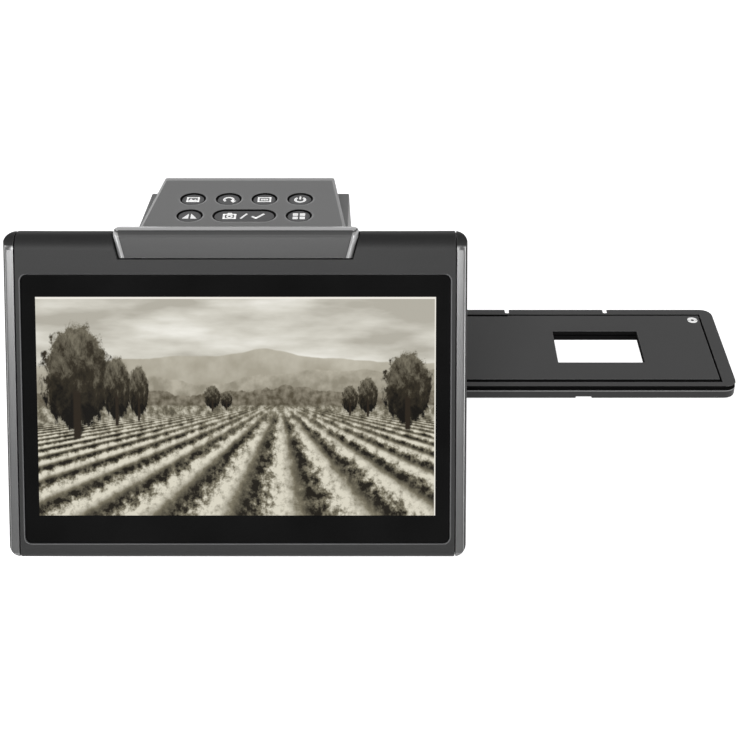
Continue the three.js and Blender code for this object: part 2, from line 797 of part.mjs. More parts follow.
function addBoards() {
  const half = mainBoardWidth / 2;
  const board = block(-half, half, boardFront, boardRear, mainBoardHeight, boardTopZ);
  piece(scanner, 'main_board', board, boardGreen());
  let panel = panelSolid(0);
  for (const socket of sockets) {
    const x0 = socket.x - socket.width / 2;
    const x1 = socket.x + socket.width / 2;
    const z1 = boardTopZ + socket.height;
    const body = block(x0, x1, boardRear - socket.length, boardRear, boardTopZ, z1)
      .subtract(block(x0 + socketWall, x1 - socketWall, boardRear - socket.length + socketWall,
        boardRear + overrun, boardTopZ + socketWall, z1 - socketWall));
    piece(scanner, socket.name, body, steel());
    panel = panel.subtract(block(x0, x1, 0, baseRear + overrun, boardTopZ, z1));
  }
  piece(scanner, 'port_panel', panel, innerBlack());
  const chipY = (boardFront + boardRear) / 2;
  const processor = block(-half / 2 - processorSize / 2, -half / 2 + processorSize / 2,
    chipY - processorSize / 2, chipY + processorSize / 2, boardTopZ, boardTopZ + processorThickness);
  const memory = block(-memoryWidth / 2, memoryWidth / 2, chipY - memoryDepth / 2 - processorSize,
    chipY + memoryDepth / 2 - processorSize, boardTopZ, boardTopZ + memoryThickness);
  piece(scanner, 'processor_chip', processor, chipBlack());
  piece(scanner, 'memory_chip', memory, chipBlack());
}

function screwZ(place, headBottom, length) {
  const head = rodZ(screwHeadRadius, headBottom - screwHeadHeight, headBottom, place.x, place.y);
  return head.add(rodZ(screwShankRadius, headBottom, headBottom + length, place.x, place.y, smallRodSides));
}

function addBaseScrews() {
  screwPlaces.forEach((place, index) => {
    piece(scanner, `base_screw_${index + 1}`, screwZ(place, screwHeadZ - seatGap, baseScrewLength), steel());
  });
}

// Leaf spring on the rear wall of the guide; its nose reaches through a window towards the tray
const springRear = trayRear + slidingGap + guideWall + seatGap + springThickness;
const springX = detentSecondOffset;

function addDetentSpring() {
  const z = (trayTop + trayBottom) / 2;
  const noseY = trayRear + slidingGap + springNoseRadius;
  const slice = (x0, x1, y0) => block(x0, x1, y0, springRear, z - springWidth / 2, z + springWidth / 2);
  const leaf = slice(springX - springLength / 2, springX + springLength / 2, springRear - springThickness);
  const arm = slice(springX - springNoseRadius, springX + springNoseRadius, noseY);
  const nose = rodZ(springNoseRadius, z - springWidth / 2, z + springWidth / 2, springX, noseY);
  piece(scanner, 'detent_spring', sum([leaf, arm, nose]), steel());
}

// Film tray: lower frame, upper frame and hinged lid
const frameTop = trayTop;
const frameBottom = trayTop - trayFrameThickness;
const lidRear = trayRear - lidRearRim;
const lidFront = trayFront + lidFrontRim;
const lidRight = trayRight - lidRightRim;
const lidLeft = lidRight - lidLength;
const lidTop = trayTop - lidSink;
const lidAxisZ = lidTop - lidThickness / 2;
const lidAxisY = lidRear - slidingGap - lidThickness / 2;

function trayOutline(inset) {
  return roundedRect(trayLeft + inset, trayRight - inset, trayFront + inset, trayRear - inset,
    trayCornerRadius - inset);
}

function windowCut(margin) {
  return block(trayWindowReach - windowWidth / 2 - margin, trayWindowReach + windowWidth / 2 + margin,
    opticalY - windowDepth / 2 - margin, opticalY + windowDepth / 2 + margin, 0, hingeHeight);
}

function detentCut(x) {
  const end = trayRear - detentDepth + detentRadius;
  return rodZ(detentRadius, 0, hingeHeight, x, end)
    .add(block(x - detentRadius, x + detentRadius, end, trayRear + overrun, 0, hingeHeight));
}

function detentCuts() {
  const places = [detentFirstOffset, detentSecondOffset].map((offset) => trayWindowReach + offset);
  return sum(places.map((x) => detentCut(x)));
}

function addTray() {
  const lipBottom = trayTop - trayLipThickness;
  const wallTop = lipBottom - trayShadowGap;
  const notchX = trayWindowReach + pullNotchOffset;
  const filmHalf = filmChannelWidth / 2;
  const lower = slab(trayOutline(0), trayBottom, wallTop)
    .subtract(slab(trayOutline(trayLipWidth), frameBottom, wallTop + overrun))
    .subtract(block(lidLeft, lidRight, opticalY - filmHalf, opticalY + filmHalf,
      frameBottom - filmChannelDepth, hingeHeight))
    .subtract(windowCut(0))
    .subtract(windowCut(windowFlare).intersect(slab(trayOutline(0), 0, trayBottom + windowFlareHeight)))
    .subtract(detentCuts())
    .subtract(block(notchX - pullNotchWidth / 2, notchX + pullNotchWidth / 2, trayFront - overrun,
      trayFront + pullNotchHeight, 0, trayBottom + pullNotchHeight));
  piece(scanner, 'tray_lower_frame', lower, trayBlack());
  const pinHole = rodX(lidPinRadius + seatGap, lidLeft - lidPinLength - slidingGap,
    lidRight + lidPinLength + slidingGap, lidAxisY, lidAxisZ, smallRodSides);
  const upper = slab(trayOutline(trayLipWidth + seatGap), frameBottom, frameTop)
    .add(slab(trayOutline(0), lipBottom, frameTop))
    .subtract(block(lidLeft, lidRight, lidFront, lidRear, 0, hingeHeight))
    .subtract(pinHole)
    .subtract(detentCuts());
  piece(scanner, 'tray_upper_frame', upper, trayBlack());
}

function addLid() {
  const x0 = lidLeft + lidGap;
  const x1 = lidRight - lidGap;
  const z0 = lidTop - lidThickness;
  const half = lidThickness / 2;
  const profile = [
    point(lidFront + lidFrontGap, z0),
    point(lidAxisY, z0),
    ...arc(lidAxisY, lidAxisZ, half, -90, 90, coarseArcStepDegrees),
    point(lidFront + lidFrontGap, lidTop),
  ];
  const lid = sidePrism(profile, x0, x1)
    .add(rodX(lidPinRadius, x0 - lidPinLength, x1 + lidPinLength, lidAxisY, lidAxisZ, smallRodSides))
    .subtract(block(lidLeft + lidReliefStart, trayWindowReach + detentFirstOffset,
      lidAxisY + half - lidReliefDepth, trayRear, 0, hingeHeight))
    .subtract(windowCut(0));
  piece(scanner, 'tray_lid', lid, trayBlack());
}

// Display, drawn upright with its hinge axis on the local X axis
function displayProfile(inset) {
  const y = displayHalfDepth - inset;
  const z0 = displayBottom + inset;
  const r = Math.max(displayBottomEdgeRadius - inset, seatGap);
  return [
    ...arc(y - r, z0 + r, r, -90, 0, coarseArcStepDegrees),
    ...arc(0, displayTop - displayHalfDepth, y, 0, 180),
    ...arc(-y + r, z0 + r, r, 180, 270, coarseArcStepDegrees),
  ];
}

function displayEnvelope() {
  const half = displayWidth / 2;
  const side = sidePrism(displayProfile(0), -half, half);
  const front = frontPrism(roundedRect(-half, half, displayBottom, displayTop,
    displayBottomCornerRadius, displayTopCornerRadius), -displayDepth, displayDepth);
  const plan = slab(roundedRect(-half, half, -displayHalfDepth, displayHalfDepth, trimRound),
    displayBottom - overrun, displayTop + overrun);
  return side.intersect(front).intersect(plan);
}

// Notch in the top edge that holds the hinge cover; its ends slope like the cover's
const coverSlope = (hingeCoverTopWidth - hingeCoverBottomWidth) / 2 / hingeCoverHeight;
const coverBottom = displayTop - hingeCoverHeight;

function coverOutline(margin, top, radius) {
  const z0 = coverBottom - margin;
  const low = hingeCoverBottomWidth / 2 + margin - coverSlope * margin;
  const high = low + coverSlope * (top - radius - z0);
  return [
    point(low, z0),
    ...arc(high - radius, top - radius, radius, 0, 90),
    ...arc(-high + radius, top - radius, radius, 90, 180),
    point(-low, z0),
  ];
}

function glassOutline(margin) {
  const half = glassWidth / 2 + margin;
  return roundedRect(-half, half, displayBottom + glassBottomMargin - margin,
    displayTop - glassTopMargin + margin, Math.max(glassCornerRadius + margin, seatGap));
}

function displayScrewPlaces() {
  const x = displayWidth / 2 - trimWidth - displayScrewInset;
  const low = displayBottom + displayScrewInset;
  const high = displayTop - glassTopMargin / 2 - displayScrewInset / 2;
  return [point(-x, low), point(x, low), point(-x, high), point(x, high)];
}

const frameFront = -displayHalfDepth;
const frameRear = frameFront + displayFrameDepth;
const coverFront = frameRear + partingGap;
const glassFront = frameFront + glassSink;
const glassRear = glassFront + glassThickness;
const cavityFront = frameFront + displayFrontPlate;
const cavityRear = displayHalfDepth - wall;
const bracketX = knuckleWidth / 2 + bracketPlay + bracketWidth / 2;
const bracketRear = cavityRear - bracketInset;
const troughHalf = hingePinLength / 2 + hingeCoverEndWall / 2;

function bracketSlots(margin) {
  return sum([-1, 1].map((side) => block(
    side * bracketX - bracketWidth / 2 - margin, side * bracketX + bracketWidth / 2 + margin,
    bracketRear - bracketPlate - margin, bracketRear + margin, -bracketLength - margin, 0)));
}

function displayShell() {
  const half = displayWidth / 2 - trimWidth - partingGap;
  const body = displayEnvelope().intersect(block(-half, half, -displayDepth, displayDepth,
    displayBottom - overrun, displayTop + overrun));
  const notchTop = displayTop + overrun;
  const notch = frontPrism(coverOutline(seatGap, notchTop, seatGap), -displayDepth, seatGap)
    .add(block(-troughHalf, troughHalf, 0, displayDepth, coverBottom - seatGap, notchTop));
  const notchWall = frontPrism(coverOutline(seatGap + wall, notchTop, seatGap), -displayDepth, displayDepth);
  const trough = rodX(knuckleRadius + troughGap, -troughHalf, troughHalf, 0, 0, fineRodSides);
  const troughWall = rodX(
    knuckleRadius + troughGap + wall, -troughHalf - wall, troughHalf + wall, 0, 0, fineRodSides);
  const room = sidePrism(displayProfile(wall), -half + wall, half - wall)
    .intersect(block(-half, half, cavityFront, displayDepth, displayBottom, displayTop))
    .subtract(notchWall).subtract(troughWall);
  return body.subtract(room).subtract(notch).subtract(trough).subtract(bracketSlots(seatGap));
}

function addDisplayHousing() {
  const shell = displayShell();
  const span = displayWidth;
  const screenCut = glassOutline(-glassLedge);
  let frame = shell.intersect(block(-span, span, -displayDepth, frameRear, -span, span))
    .subtract(frontPrism(glassOutline(seatGap), frameFront - overrun, glassRear + seatGap))
    .subtract(frontPrism(screenCut, frameFront, cavityFront + overrun));
  let rear = shell.intersect(block(-span, span, coverFront, displayDepth, -span, span));
  for (const place of displayScrewPlaces()) {
    const hole = screwShankRadius + seatGap;
    const seat = displayHalfDepth - screwHeadHeight - seatGap;
    frame = frame.add(rodY(displayBossRadius, cavityFront, frameRear, place.x, place.y))
      .subtract(rodY(hole, cavityFront + seatGap, frameRear + overrun, place.x, place.y, smallRodSides));
    rear = rear.add(rodY(displayBossRadius, coverFront, cavityRear, place.x, place.y))
      .subtract(rodY(hole, 0, displayDepth, place.x, place.y, smallRodSides))
      .subtract(rodY(screwHeadRadius + seatGap, seat, displayDepth, place.x, place.y));
  }
  for (const place of displayBoardPosts()) {
    rear = rear.add(rodY(displayPostRadius, displayBoardRear, cavityRear, place.x, place.y, smallRodSides));
  }
  piece(displayGroup, 'display_frame', frame, frameGray());
  piece(displayGroup, 'display_rear_cover', rear, housingGray());
}

const screenRear = cavityFront + seatGap + screenThickness;
const displayBoardFront = screenRear + partingGap * 2;
const displayBoardRear = displayBoardFront + boardThickness + seatGap;

function displayBoardPosts() {
  const x = displayBoardWidth / 2 - displayPostRadius;
  const z = -displayBoardDrop - displayBoardHeight / 2;
  const dz = displayBoardHeight / 2 - displayPostRadius;
  return [point(-x, z - dz), point(x, z - dz), point(-x, z + dz), point(x, z + dz)];
}

function addSideTrims() {
  const envelope = displayEnvelope();
  const inner = displayWidth / 2 - trimWidth;
  const outer = displayWidth;
  const limits = { side_trim_left: [-outer, -inner], side_trim_right: [inner, outer] };
  for (const [name, [x0, x1]] of Object.entries(limits)) {
    const trim = envelope.intersect(block(x0, x1, -displayDepth, displayDepth, -outer, outer));
    piece(displayGroup, name, trim, trimGray());
  }
}

function addScreen() {
  piece(displayGroup, 'cover_glass', frontPrism(glassOutline(0), glassFront, glassRear), glassBlack());
  const half = screenWidth / 2;
  const top = displayTop - screenTopMargin;
  const screen = block(-half, half, cavityFront + seatGap, screenRear, top - screenHeight, top);
  piece(displayGroup, 'screen_panel', screen, screenBlack());
  const side = displayBoardWidth / 2;
  const board = block(-side, side, displayBoardFront, displayBoardFront + boardThickness,
    -displayBoardDrop - displayBoardHeight, -displayBoardDrop);
  piece(displayGroup, 'display_board', board, boardGreen());
}

// Outside of the hinge cover: flat front, a tight round, then a flatter crown that ends over the pin
function coverCurve() {
  const turn = THREE.MathUtils.degToRad(hingeCoverTurnDegrees);
  const wider = hingeCoverCrown - hingeCoverFrontRound;
  const roundY = hingeCoverFrontRound - displayHalfDepth;
  const crownZ = hingeCoverTop - hingeCoverCrown;
  const meeting = 180 - hingeCoverTurnDegrees;
  return [
    ...arc(roundY, crownZ + wider * Math.sin(turn), hingeCoverFrontRound, 180, meeting).slice(0, -1),
    ...arc(roundY + wider * Math.cos(turn), crownZ, hingeCoverCrown, meeting, 90),
  ];
}

function addHingeCover() {
  const outerArc = coverCurve();
  const skin = [
    point(-displayHalfDepth, coverBottom),
    ...outerArc,
    ...arc(0, 0, hingeCoverInnerRadius, hingeCoverBackDegrees, 180),
    point(-hingeCoverInnerRadius, coverBottom),
  ].reverse();
  const end = [point(-displayHalfDepth, coverBottom), ...outerArc, point(0, coverBottom)].reverse();
  const half = displayWidth / 2;
  const wallStart = hingePinLength / 2 + seatGap;
  const ends = sidePrism(end, wallStart, half).add(sidePrism(end, -half, -wallStart));
  const limit = frontPrism(coverOutline(0, hingeCoverTop + seatGap, hingeCoverCornerRadius),
    -displayDepth, displayDepth);
  const cover = sidePrism(skin, -half, half).add(ends).intersect(limit);
  piece(displayGroup, 'hinge_cover', cover, housingGray());
}

function addBrackets() {
  for (const [name, side] of [['hinge_bracket_left', -1], ['hinge_bracket_right', 1]]) {
    const x0 = side * bracketX - bracketWidth / 2;
    const x1 = side * bracketX + bracketWidth / 2;
    const leaf = block(x0, x1, bracketRear - bracketPlate, bracketRear, -bracketLength, 0);
    const bracket = rodX(bracketEyeRadius, x0, x1, 0, 0).add(leaf)
      .subtract(rodX(hingePinRadius + seatGap, x0 - overrun, x1 + overrun, 0, 0));
    piece(displayGroup, name, bracket, steel());
  }
}

function addDisplayScrews() {
  const headTop = displayHalfDepth - seatGap;
  displayScrewPlaces().forEach((place, index) => {
    const head = rodY(screwHeadRadius, headTop - screwHeadHeight + seatGap, headTop, place.x, place.y);
    const tip = headTop - displayScrewLength;
    const shank = rodY(screwShankRadius, tip, headTop, place.x, place.y, smallRodSides);
    piece(displayGroup, `display_screw_${index + 1}`, head.add(shank), steel());
  });
}

addBaseShell();
addFeet();
addTowerShell();
addHingePin();
addDeck();
addButtons();
addButtonBoard();
addTrayGuides();
addCamera();
addLightBox();
addBoards();
addBaseScrews();
addDetentSpring();
addTray();
addLid();
addDisplayHousing();
addSideTrims();
addScreen();
addHingeCover();
addBrackets();
addDisplayScrews();

export default scanner;
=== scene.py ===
# Film and slide scanner: the looks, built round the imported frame.
# Blender works in metres; sizes are written in millimetres and multiplied by MM.
import math

import bmesh
import bpy
from mathutils import Euler, Matrix, Vector


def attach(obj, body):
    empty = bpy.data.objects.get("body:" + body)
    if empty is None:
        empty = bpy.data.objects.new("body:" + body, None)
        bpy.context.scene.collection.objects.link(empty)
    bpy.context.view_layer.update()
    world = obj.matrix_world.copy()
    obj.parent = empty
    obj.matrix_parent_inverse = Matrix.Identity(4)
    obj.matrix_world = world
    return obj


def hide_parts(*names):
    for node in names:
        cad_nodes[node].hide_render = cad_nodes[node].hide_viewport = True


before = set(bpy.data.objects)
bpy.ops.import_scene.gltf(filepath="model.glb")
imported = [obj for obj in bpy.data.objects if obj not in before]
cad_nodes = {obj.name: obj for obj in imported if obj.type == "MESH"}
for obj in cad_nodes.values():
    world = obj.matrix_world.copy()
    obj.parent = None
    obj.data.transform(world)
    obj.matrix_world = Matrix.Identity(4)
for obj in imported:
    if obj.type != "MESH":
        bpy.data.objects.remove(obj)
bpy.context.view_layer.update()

scene = bpy.context.scene
MM = 0.001

# Places repeated from the part's source, in millimetres
HINGE = (0.0, 8.0, 132.0)
TILT = math.radians(-28.4)
DISPLAY_HALF_WIDTH = 89.3
DISPLAY_HALF_DEPTH = 7.5
DISPLAY_TOP = 7.5
DISPLAY_BOTTOM = -119.7
DISPLAY_CORNERS = (5.5, 4.5)    # low and high corners, seen from the front
DISPLAY_PLAN_ROUND = 1.6
DISPLAY_LOW_ROUND = 2.2
TRIM_INNER = 85.2
PICTURE_HALF_WIDTH = 77.2
PICTURE_TOP = -17.8
PICTURE_BOTTOM = -103.1
TAB_BOTTOM = -2.9
TAB_HALF_BOTTOM = 45.05
TAB_SLOPE = 2.75 / 10.4
TAB_TOP = 9.2
TAB_FRONT_ROUND = 3.2
TAB_CROWN = 10.6
TAB_TURN = 60.0
TAB_ROUND = 3.0
TAB_BACK = 6.0
DECK_TOP = 126.9
DECK_FRONT = 31.0
DECK_DEPTH = 51.2
DECK_WIDTH = (85.4, 73.0)    # in front and behind
DECK_CORNER = 0.8
DECK_ROOF = 124.7    # the underside of its top
DECK_SKIRT = 117.3    # its lowest edge
EDGE_DEPTH = 1.0    # how far down its top edge is rounded
BUTTON_Y = (61.4, 46.6)
BUTTON_PITCH = 15.0
BUTTON_RADIUS = 4.7
BUTTON_TOP = 126.4
BUTTON_RIM = 0.35
PILL_HALF = 7.7
FLANGE_RADIUS = 5.9
FLANGE_LOW = 123.4
FLANGE_TOP = 124.4
STEM_RADIUS = 1.6
STEM_LOW = 121.9
LID_TOP = 57.6
WINDOW = (152.6, 54.0, 37.7, 25.2)    # middle and size
PORT_REAR = 91.5

# Only the looks need these, in millimetres
MARK = (198.2, 76.0)    # middle of the two arcs on the lid
MARK_RADII = (0.75, 2.3)
MARK_STARTS = (8, 188)
MARK_SWEEP = 165
INK_RISE = 0.02
INK_SINK = 0.05
# the lower frame's outer wall: black above the first level, a painted shadow, and a pale painted
# highlight line above the second
UNDER_PAINTED_SHADOW = 55.45    # the lower frame is black above this and light above the next
UNDER_PAINTED_HIGHLIGHT = 55.0
WINDOW_WALL = 2.2
RECESS_HALF = TRIM_INNER - 1.5    # the recess for the glass
RECESS_TOP = -9.0
RECESS_BOTTOM = DISPLAY_BOTTOM + 3.0
RECESS_BACK = 0.7 - DISPLAY_HALF_DEPTH
DISH_RADIUS = 5.45
DISH_OUTER = 6.3
FOOT_HALF = 35.0
FOOT_ROUND = 3.0
FLOOR_DROP = 0.2    # below the feet

# A face counts as facing a way when this share of its normal points there
FACING = 0.5
# Such shares between which a sloping face counts as the recess's edge or the deck's, and the most
# for a face in a key hole
RECESS_EDGE = (-0.97, -0.1)
DECK_EDGE = (0.05, 0.995)
HOLE_RISE = 0.98
# The same for the tab: ends, which face the front a little, their rise, crown, and front round
TAB_END_ACROSS = (0.12, 0.98)
TAB_END_FRONT = -0.1
TAB_END_RISE = 0.6
TAB_CROWN_RISE = 0.78
TAB_ROUND_RISE = 0.04
# Cosines between which a bevelled edge goes from unworn to fully worn
WEAR_NONE = 0.995
WEAR_FULL = 0.86

# Studio: metres, and strengths where 1 is white
FLOOR_REACH = 6
FLOOR_GLOW = 0.8
AMBIENT = 0.52
CEILING = 0.2
FRONT_WALL = 0.4
FOCAL_PIXELS = 1500.0
FRAME_PIXELS = 736.0
SENSOR = 36.0
LOOKING_DOWN = 33.77

display_place = Matrix.Translation(Vector(HINGE) * MM) @ Matrix.Rotation(TILT, 4, "X")


# Colours and nodes
def colour(code):
    """Linear RGBA of an sRGB hex value."""
    parts = [int(code[i:i + 2], 16) / 255 for i in (1, 3, 5)]
    linear = [p / 12.92 if p <= 0.04045 else ((p + 0.055) / 1.055) ** 2.4 for p in parts]
    return (*linear, 1.0)


def feed(node, inputs):
    """Sets a node's inputs: each takes a value, a socket, or a node, which gives its first output."""
    for key, value in inputs.items():
        if isinstance(value, bpy.types.Node):
            value = next(socket for socket in value.outputs if socket.enabled)
        if isinstance(value, bpy.types.NodeSocket):
            node.id_data.links.new(value, node.inputs[key])
        else:
            node.inputs[key].default_value = value


def add(tree, kind, inputs=None, stops=None, **settings):
    """Adds a node with its settings, its inputs and the stops of its colour ramp. The kind of a
    shader node is written without ShaderNode."""
    made = tree.nodes.new(kind if "Node" in kind else "ShaderNode" + kind)
    for name, value in settings.items():
        setattr(made, name, value)
    feed(made, inputs or {})
    if stops:
        elements = made.color_ramp.elements
        while len(elements) < len(stops):
            elements.new(1.0)
        for element, (place, code) in zip(elements, stops):
            element.position = place
            element.color = colour(code)
    return made


def blank(name):
    """A new material, its tree, the place on the piece that its patterns follow, and its surface."""
    material = bpy.data.materials.new(name)
    material.use_nodes = True
    tree = material.node_tree
    tree.nodes.clear()
    surface = add(tree, "BsdfPrincipled")
    add(tree, "OutputMaterial", {"Surface": surface})
    return material, tree, add(tree, "TexCoord").outputs["Object"], surface


def looked_at(tree):
    """1 for what the camera, a reflection or a clear part sees, 0 for what lights a surface."""
    path = add(tree, "LightPath")
    seen = add(tree, "Math", {
        0: path.outputs["Is Camera Ray"], 1: path.outputs["Is Glossy Ray"]}, operation="ADD")
    return add(tree, "Math", {
        0: seen, 1: path.outputs["Is Transmission Ray"]}, operation="ADD", use_clamp=True)


def edge_wear(tree, radius):
    """0 on flat ground and 1 on edges sharper than the radius, where handling polishes them."""
    bevelled = add(tree, "Bevel", {"Radius": radius * MM}, samples=6)
    straight = add(tree, "NewGeometry").outputs["Normal"]
    match = add(tree, "VectorMath", {0: bevelled, 1: straight}, operation="DOT_PRODUCT")
    return add(tree, "MapRange", {
        "Value": match.outputs["Value"], "From Min": WEAR_NONE, "From Max": WEAR_FULL})


def moulded(name, deep, main, worn, grain, relief, roughness, spread=0.06, flow=40.0, specular=0.5):
    """Injection moulded plastic: a grain etched into the mould, slow drifts of tone along the flow
    of the melt, and edges that handling has polished and paled. Real grains are 0.1 to 0.3 mm wide;
    they are drawn about twice as coarse, so that they show."""
    material, tree, place, surface = blank(name)
    drift = add(tree, "TexNoise", {"Vector": place, "Scale": 1 / (flow * MM), "Detail": 3.0})
    grains = add(tree, "TexNoise", {
        "Vector": place, "Scale": 1 / (grain * MM), "Detail": 2.5, "Roughness": 0.6})
    tone = add(tree, "MapRange", {"Value": grains, "From Min": 0.3, "From Max": 0.7})
    drifted = add(tree, "Math", {0: tone, 1: drift}, operation="ADD")
    share = add(tree, "Math", {0: drifted, 1: 0.5}, operation="MULTIPLY")
    ground = add(tree, "Mix", {0: share, 6: colour(deep), 7: colour(main)}, data_type="RGBA")
    wear = edge_wear(tree, 0.4)
    some_wear = add(tree, "Math", {0: wear, 1: 0.6}, operation="MULTIPLY")
    paint = add(tree, "Mix", {0: some_wear, 6: ground, 7: colour(worn)}, data_type="RGBA")
    rough = add(tree, "MapRange", {
        "Value": grains, "From Min": 0.3, "From Max": 0.7,
        "To Min": roughness - spread, "To Max": roughness + spread})
    polished = add(tree, "Math", {0: wear, 1: -0.08, 2: rough}, operation="MULTIPLY_ADD")
    bump = add(tree, "Bump", {"Height": grains, "Strength": 0.6, "Distance": relief * MM})
    feed(surface, {
        "Base Color": paint, "Roughness": polished, "Normal": bump, "Specular IOR Level": specular,
        "IOR": 1.53})
    return material


# Materials
# ABS with a fine spark-eroded grain: a soft, even mid gray that never mirrors
housing = moulded("spark_eroded_abs", "#7e7e7e", "#868686", "#a4a4a4", 0.45, 0.012, 0.5)
# the tower is drawn in a slightly darker gray of it
tower_abs = moulded("darker_spark_eroded_abs", "#646464", "#6c6c6c", "#949494", 0.45, 0.012, 0.5)
# the same ABS in dark gray with a coarser leather-like grain, as on the display's front
front_abs = moulded("grained_dark_abs", "#252525", "#313131", "#7a7a7a", 0.6, 0.03, 0.52, specular=0.26)
# the hinge tab is etched finer than the housing: a satin front with a soft sheen
cover_abs = moulded(
    "fine_satin_abs", "#404040", "#484848", "#808080", 0.4, 0.002, 0.24, 0.03, specular=0.18)
# its front round is left as matt as the mould came: a dark band under the bright crown
round_abs = moulded("dull_gray_abs", "#4c4c4c", "#545454", "#6c6c6c", 0.4, 0.006, 0.5, specular=0.2)
# the rounds at its two ends are buffed glossy and painted pale: a painted highlight which, with the
# strip lamps they mirror, gives the white streaks
buffed_and_highlight_abs = moulded(
    "buffed_gray_abs_painted_highlight", "#a0a0a0", "#a8a8a8", "#b4b4b4", 0.4, 0.001, 0.1, 0.02, specular=1.0)
# its crown is painted pale gray: a painted highlight where the round top faces the light
crown_highlight_abs = moulded(
    "gray_abs_painted_highlight", "#b2b2b2", "#bababa", "#c0c0c0", 0.4, 0.002, 0.2, 0.03, specular=0.8)
# edges of the deck and the outer part of each key dish: glossier than the housing where the mould is
# polished, and a little paler as a painted highlight
polished_edge_highlight_abs = moulded("polished_gray_abs_painted_highlight", "#848484", "#8e8e8e", "#9a9a9a", 0.45, 0.002, 0.2, 0.03)
# film tray: charcoal ABS, finely etched so that no glare reaches the film
tray_abs = moulded(
    "matt_charcoal_abs", "#434343", "#4b4b4b", "#a0a0a0", 0.4, 0.008, 0.48, specular=0.35)
# the lower half of the tray is the same ABS drawn darker: painted shade under the overhanging top frame
under_shaded_abs = moulded(
    "charcoal_abs_painted_shade", "#282828", "#303030", "#868686", 0.4, 0.008, 0.48, specular=0.22)
# key caps: smooth dark gray ABS
key_abs = moulded("smooth_dark_abs", "#535354", "#5b5b5c", "#747475", 0.5, 0.004, 0.42)
# inner mouldings: plain black polystyrene, matt
inner_ps = moulded("matt_black_polystyrene", "#161616", "#1c1c1c", "#2c2c2c", 0.5, 0.01, 0.6)
# black flock, which returns next to no light: a real light trap in the film window, and a painted
# shadow in the tray's gaps, round the lid's edges and in the key holes
flock_and_shadow = moulded("black_flocking_and_painted_shadow", "#0a0a0a", "#101010", "#141414", 0.3, 0.02, 0.95, 0.03, specular=0.1)
# feet and key mat: rubber, dull and slightly dusty
rubber = moulded("nitrile_rubber", "#151515", "#202020", "#303030", 0.35, 0.02, 0.85, 0.08, 20.0, 0.3)
# lamp housing and its diffuser: opal acrylic
opal = moulded("opal_acrylic", "#e4e4df", "#eeeeea", "#f4f4f2", 0.6, 0.004, 0.35)


def flake_lacquer():
    """Gunmetal lacquer over ABS: aluminium flakes make it glow where it mirrors a lamp and go dark
    where it mirrors the ceiling, with a fine sparkle; handling rubs its edges bright. Real flakes
    are about 0.03 mm wide and would not show, so they are drawn at 0.2 mm."""
    material, tree, place, surface = blank("aluminium_flake_lacquer")
    flakes = add(tree, "TexVoronoi", {"Vector": place, "Scale": 1 / (0.2 * MM)})
    cloud = add(tree, "TexNoise", {"Vector": place, "Scale": 1 / (25 * MM), "Detail": 3.0})
    spark = add(tree, "SeparateColor", {"Color": flakes.outputs["Color"]})
    mixed = add(tree, "Math", {0: spark, 1: cloud}, operation="ADD")
    share = add(tree, "Math", {0: mixed, 1: 0.5}, operation="MULTIPLY")
    ground = add(tree, "Mix", {0: share, 6: colour("#6f6f6f"), 7: colour("#797979")}, data_type="RGBA")
    wear = edge_wear(tree, 0.3)
    paint = add(tree, "Mix", {0: wear, 6: ground, 7: colour("#909090")}, data_type="RGBA")
    rough = add(tree, "MapRange", {"Value": share, "To Min": 0.27, "To Max": 0.33})
    bump = add(tree, "Bump", {"Height": spark, "Strength": 0.1, "Distance": 0.002 * MM})
    feed(surface, {"Base Color": paint, "Metallic": 0.85, "Roughness": rough, "Normal": bump})
    return material


def mottled(name, size, tones, least_rough, most_rough, glow=0.0, **sockets):
    """A thin coat whose tone and gloss drift a little, in spots of the given size."""
    material, tree, place, surface = blank(name)
    spots = add(tree, "TexNoise", {"Vector": place, "Scale": 1 / (size * MM), "Detail": 2.0})
    shade = add(tree, "ValToRGB", {"Fac": spots}, stops=tones)
    rough = add(tree, "MapRange", {"Value": spots, "To Min": least_rough, "To Max": most_rough})
    feed(surface, {"Base Color": shade, "Roughness": rough})
    # an optional glow: painted light, from a coat that is no lamp
    if glow:
        feed(surface, {"Emission Color": shade, "Emission Strength": glow})
    feed(surface, {label.replace("_", " "): value for label, value in sockets.items()})
    return material


def plated_steel():
    """Zinc-plated steel: bright, with fine drawn lines and cloudy passivation."""
    material, tree, place, surface = blank("zinc_plated_steel")
    drawn = add(tree, "Mapping", {"Vector": place, "Scale": (0.08, 1.0, 1.0)})
    lines = add(tree, "TexNoise", {"Vector": drawn, "Scale": 1 / (0.25 * MM), "Detail": 3.0})
    cloud = add(tree, "TexNoise", {"Vector": place, "Scale": 1 / (4 * MM), "Detail": 2.0})
    shade = add(tree, "ValToRGB", {"Fac": cloud}, stops=[(0.3, "#a8aaac"), (0.7, "#bfc0c0")])
    rough = add(tree, "MapRange", {"Value": lines, "To Min": 0.22, "To Max": 0.4})
    bump = add(tree, "Bump", {"Height": lines, "Strength": 0.3, "Distance": 0.004 * MM})
    feed(surface, {"Base Color": shade, "Metallic": 1.0, "Roughness": rough, "Normal": bump})
    return material


def solder_mask():
    """Circuit board: green solder mask over copper tracks that stand a little proud."""
    material, tree, place, surface = blank("fr4_green_solder_mask")
    tracks = add(tree, "TexBrick", {
        "Vector": place, "Scale": 1 / (4 * MM), "Mortar Size": 0.06, "Brick Width": 0.9,
        "Row Height": 0.3, "Color1": colour("#1c4d31"), "Color2": colour("#20553a"),
        "Mortar": colour("#2f7048")}, offset=0.37)
    weave = add(tree, "TexNoise", {"Vector": place, "Scale": 1 / (0.8 * MM), "Detail": 2.0})
    rough = add(tree, "MapRange", {"Value": weave, "To Min": 0.3, "To Max": 0.45})
    bump = add(tree, "Bump", {"Height": tracks.outputs["Fac"], "Strength": 0.5, "Distance": 0.03 * MM})
    feed(surface, {"Base Color": tracks, "Roughness": rough, "Normal": bump})
    return material


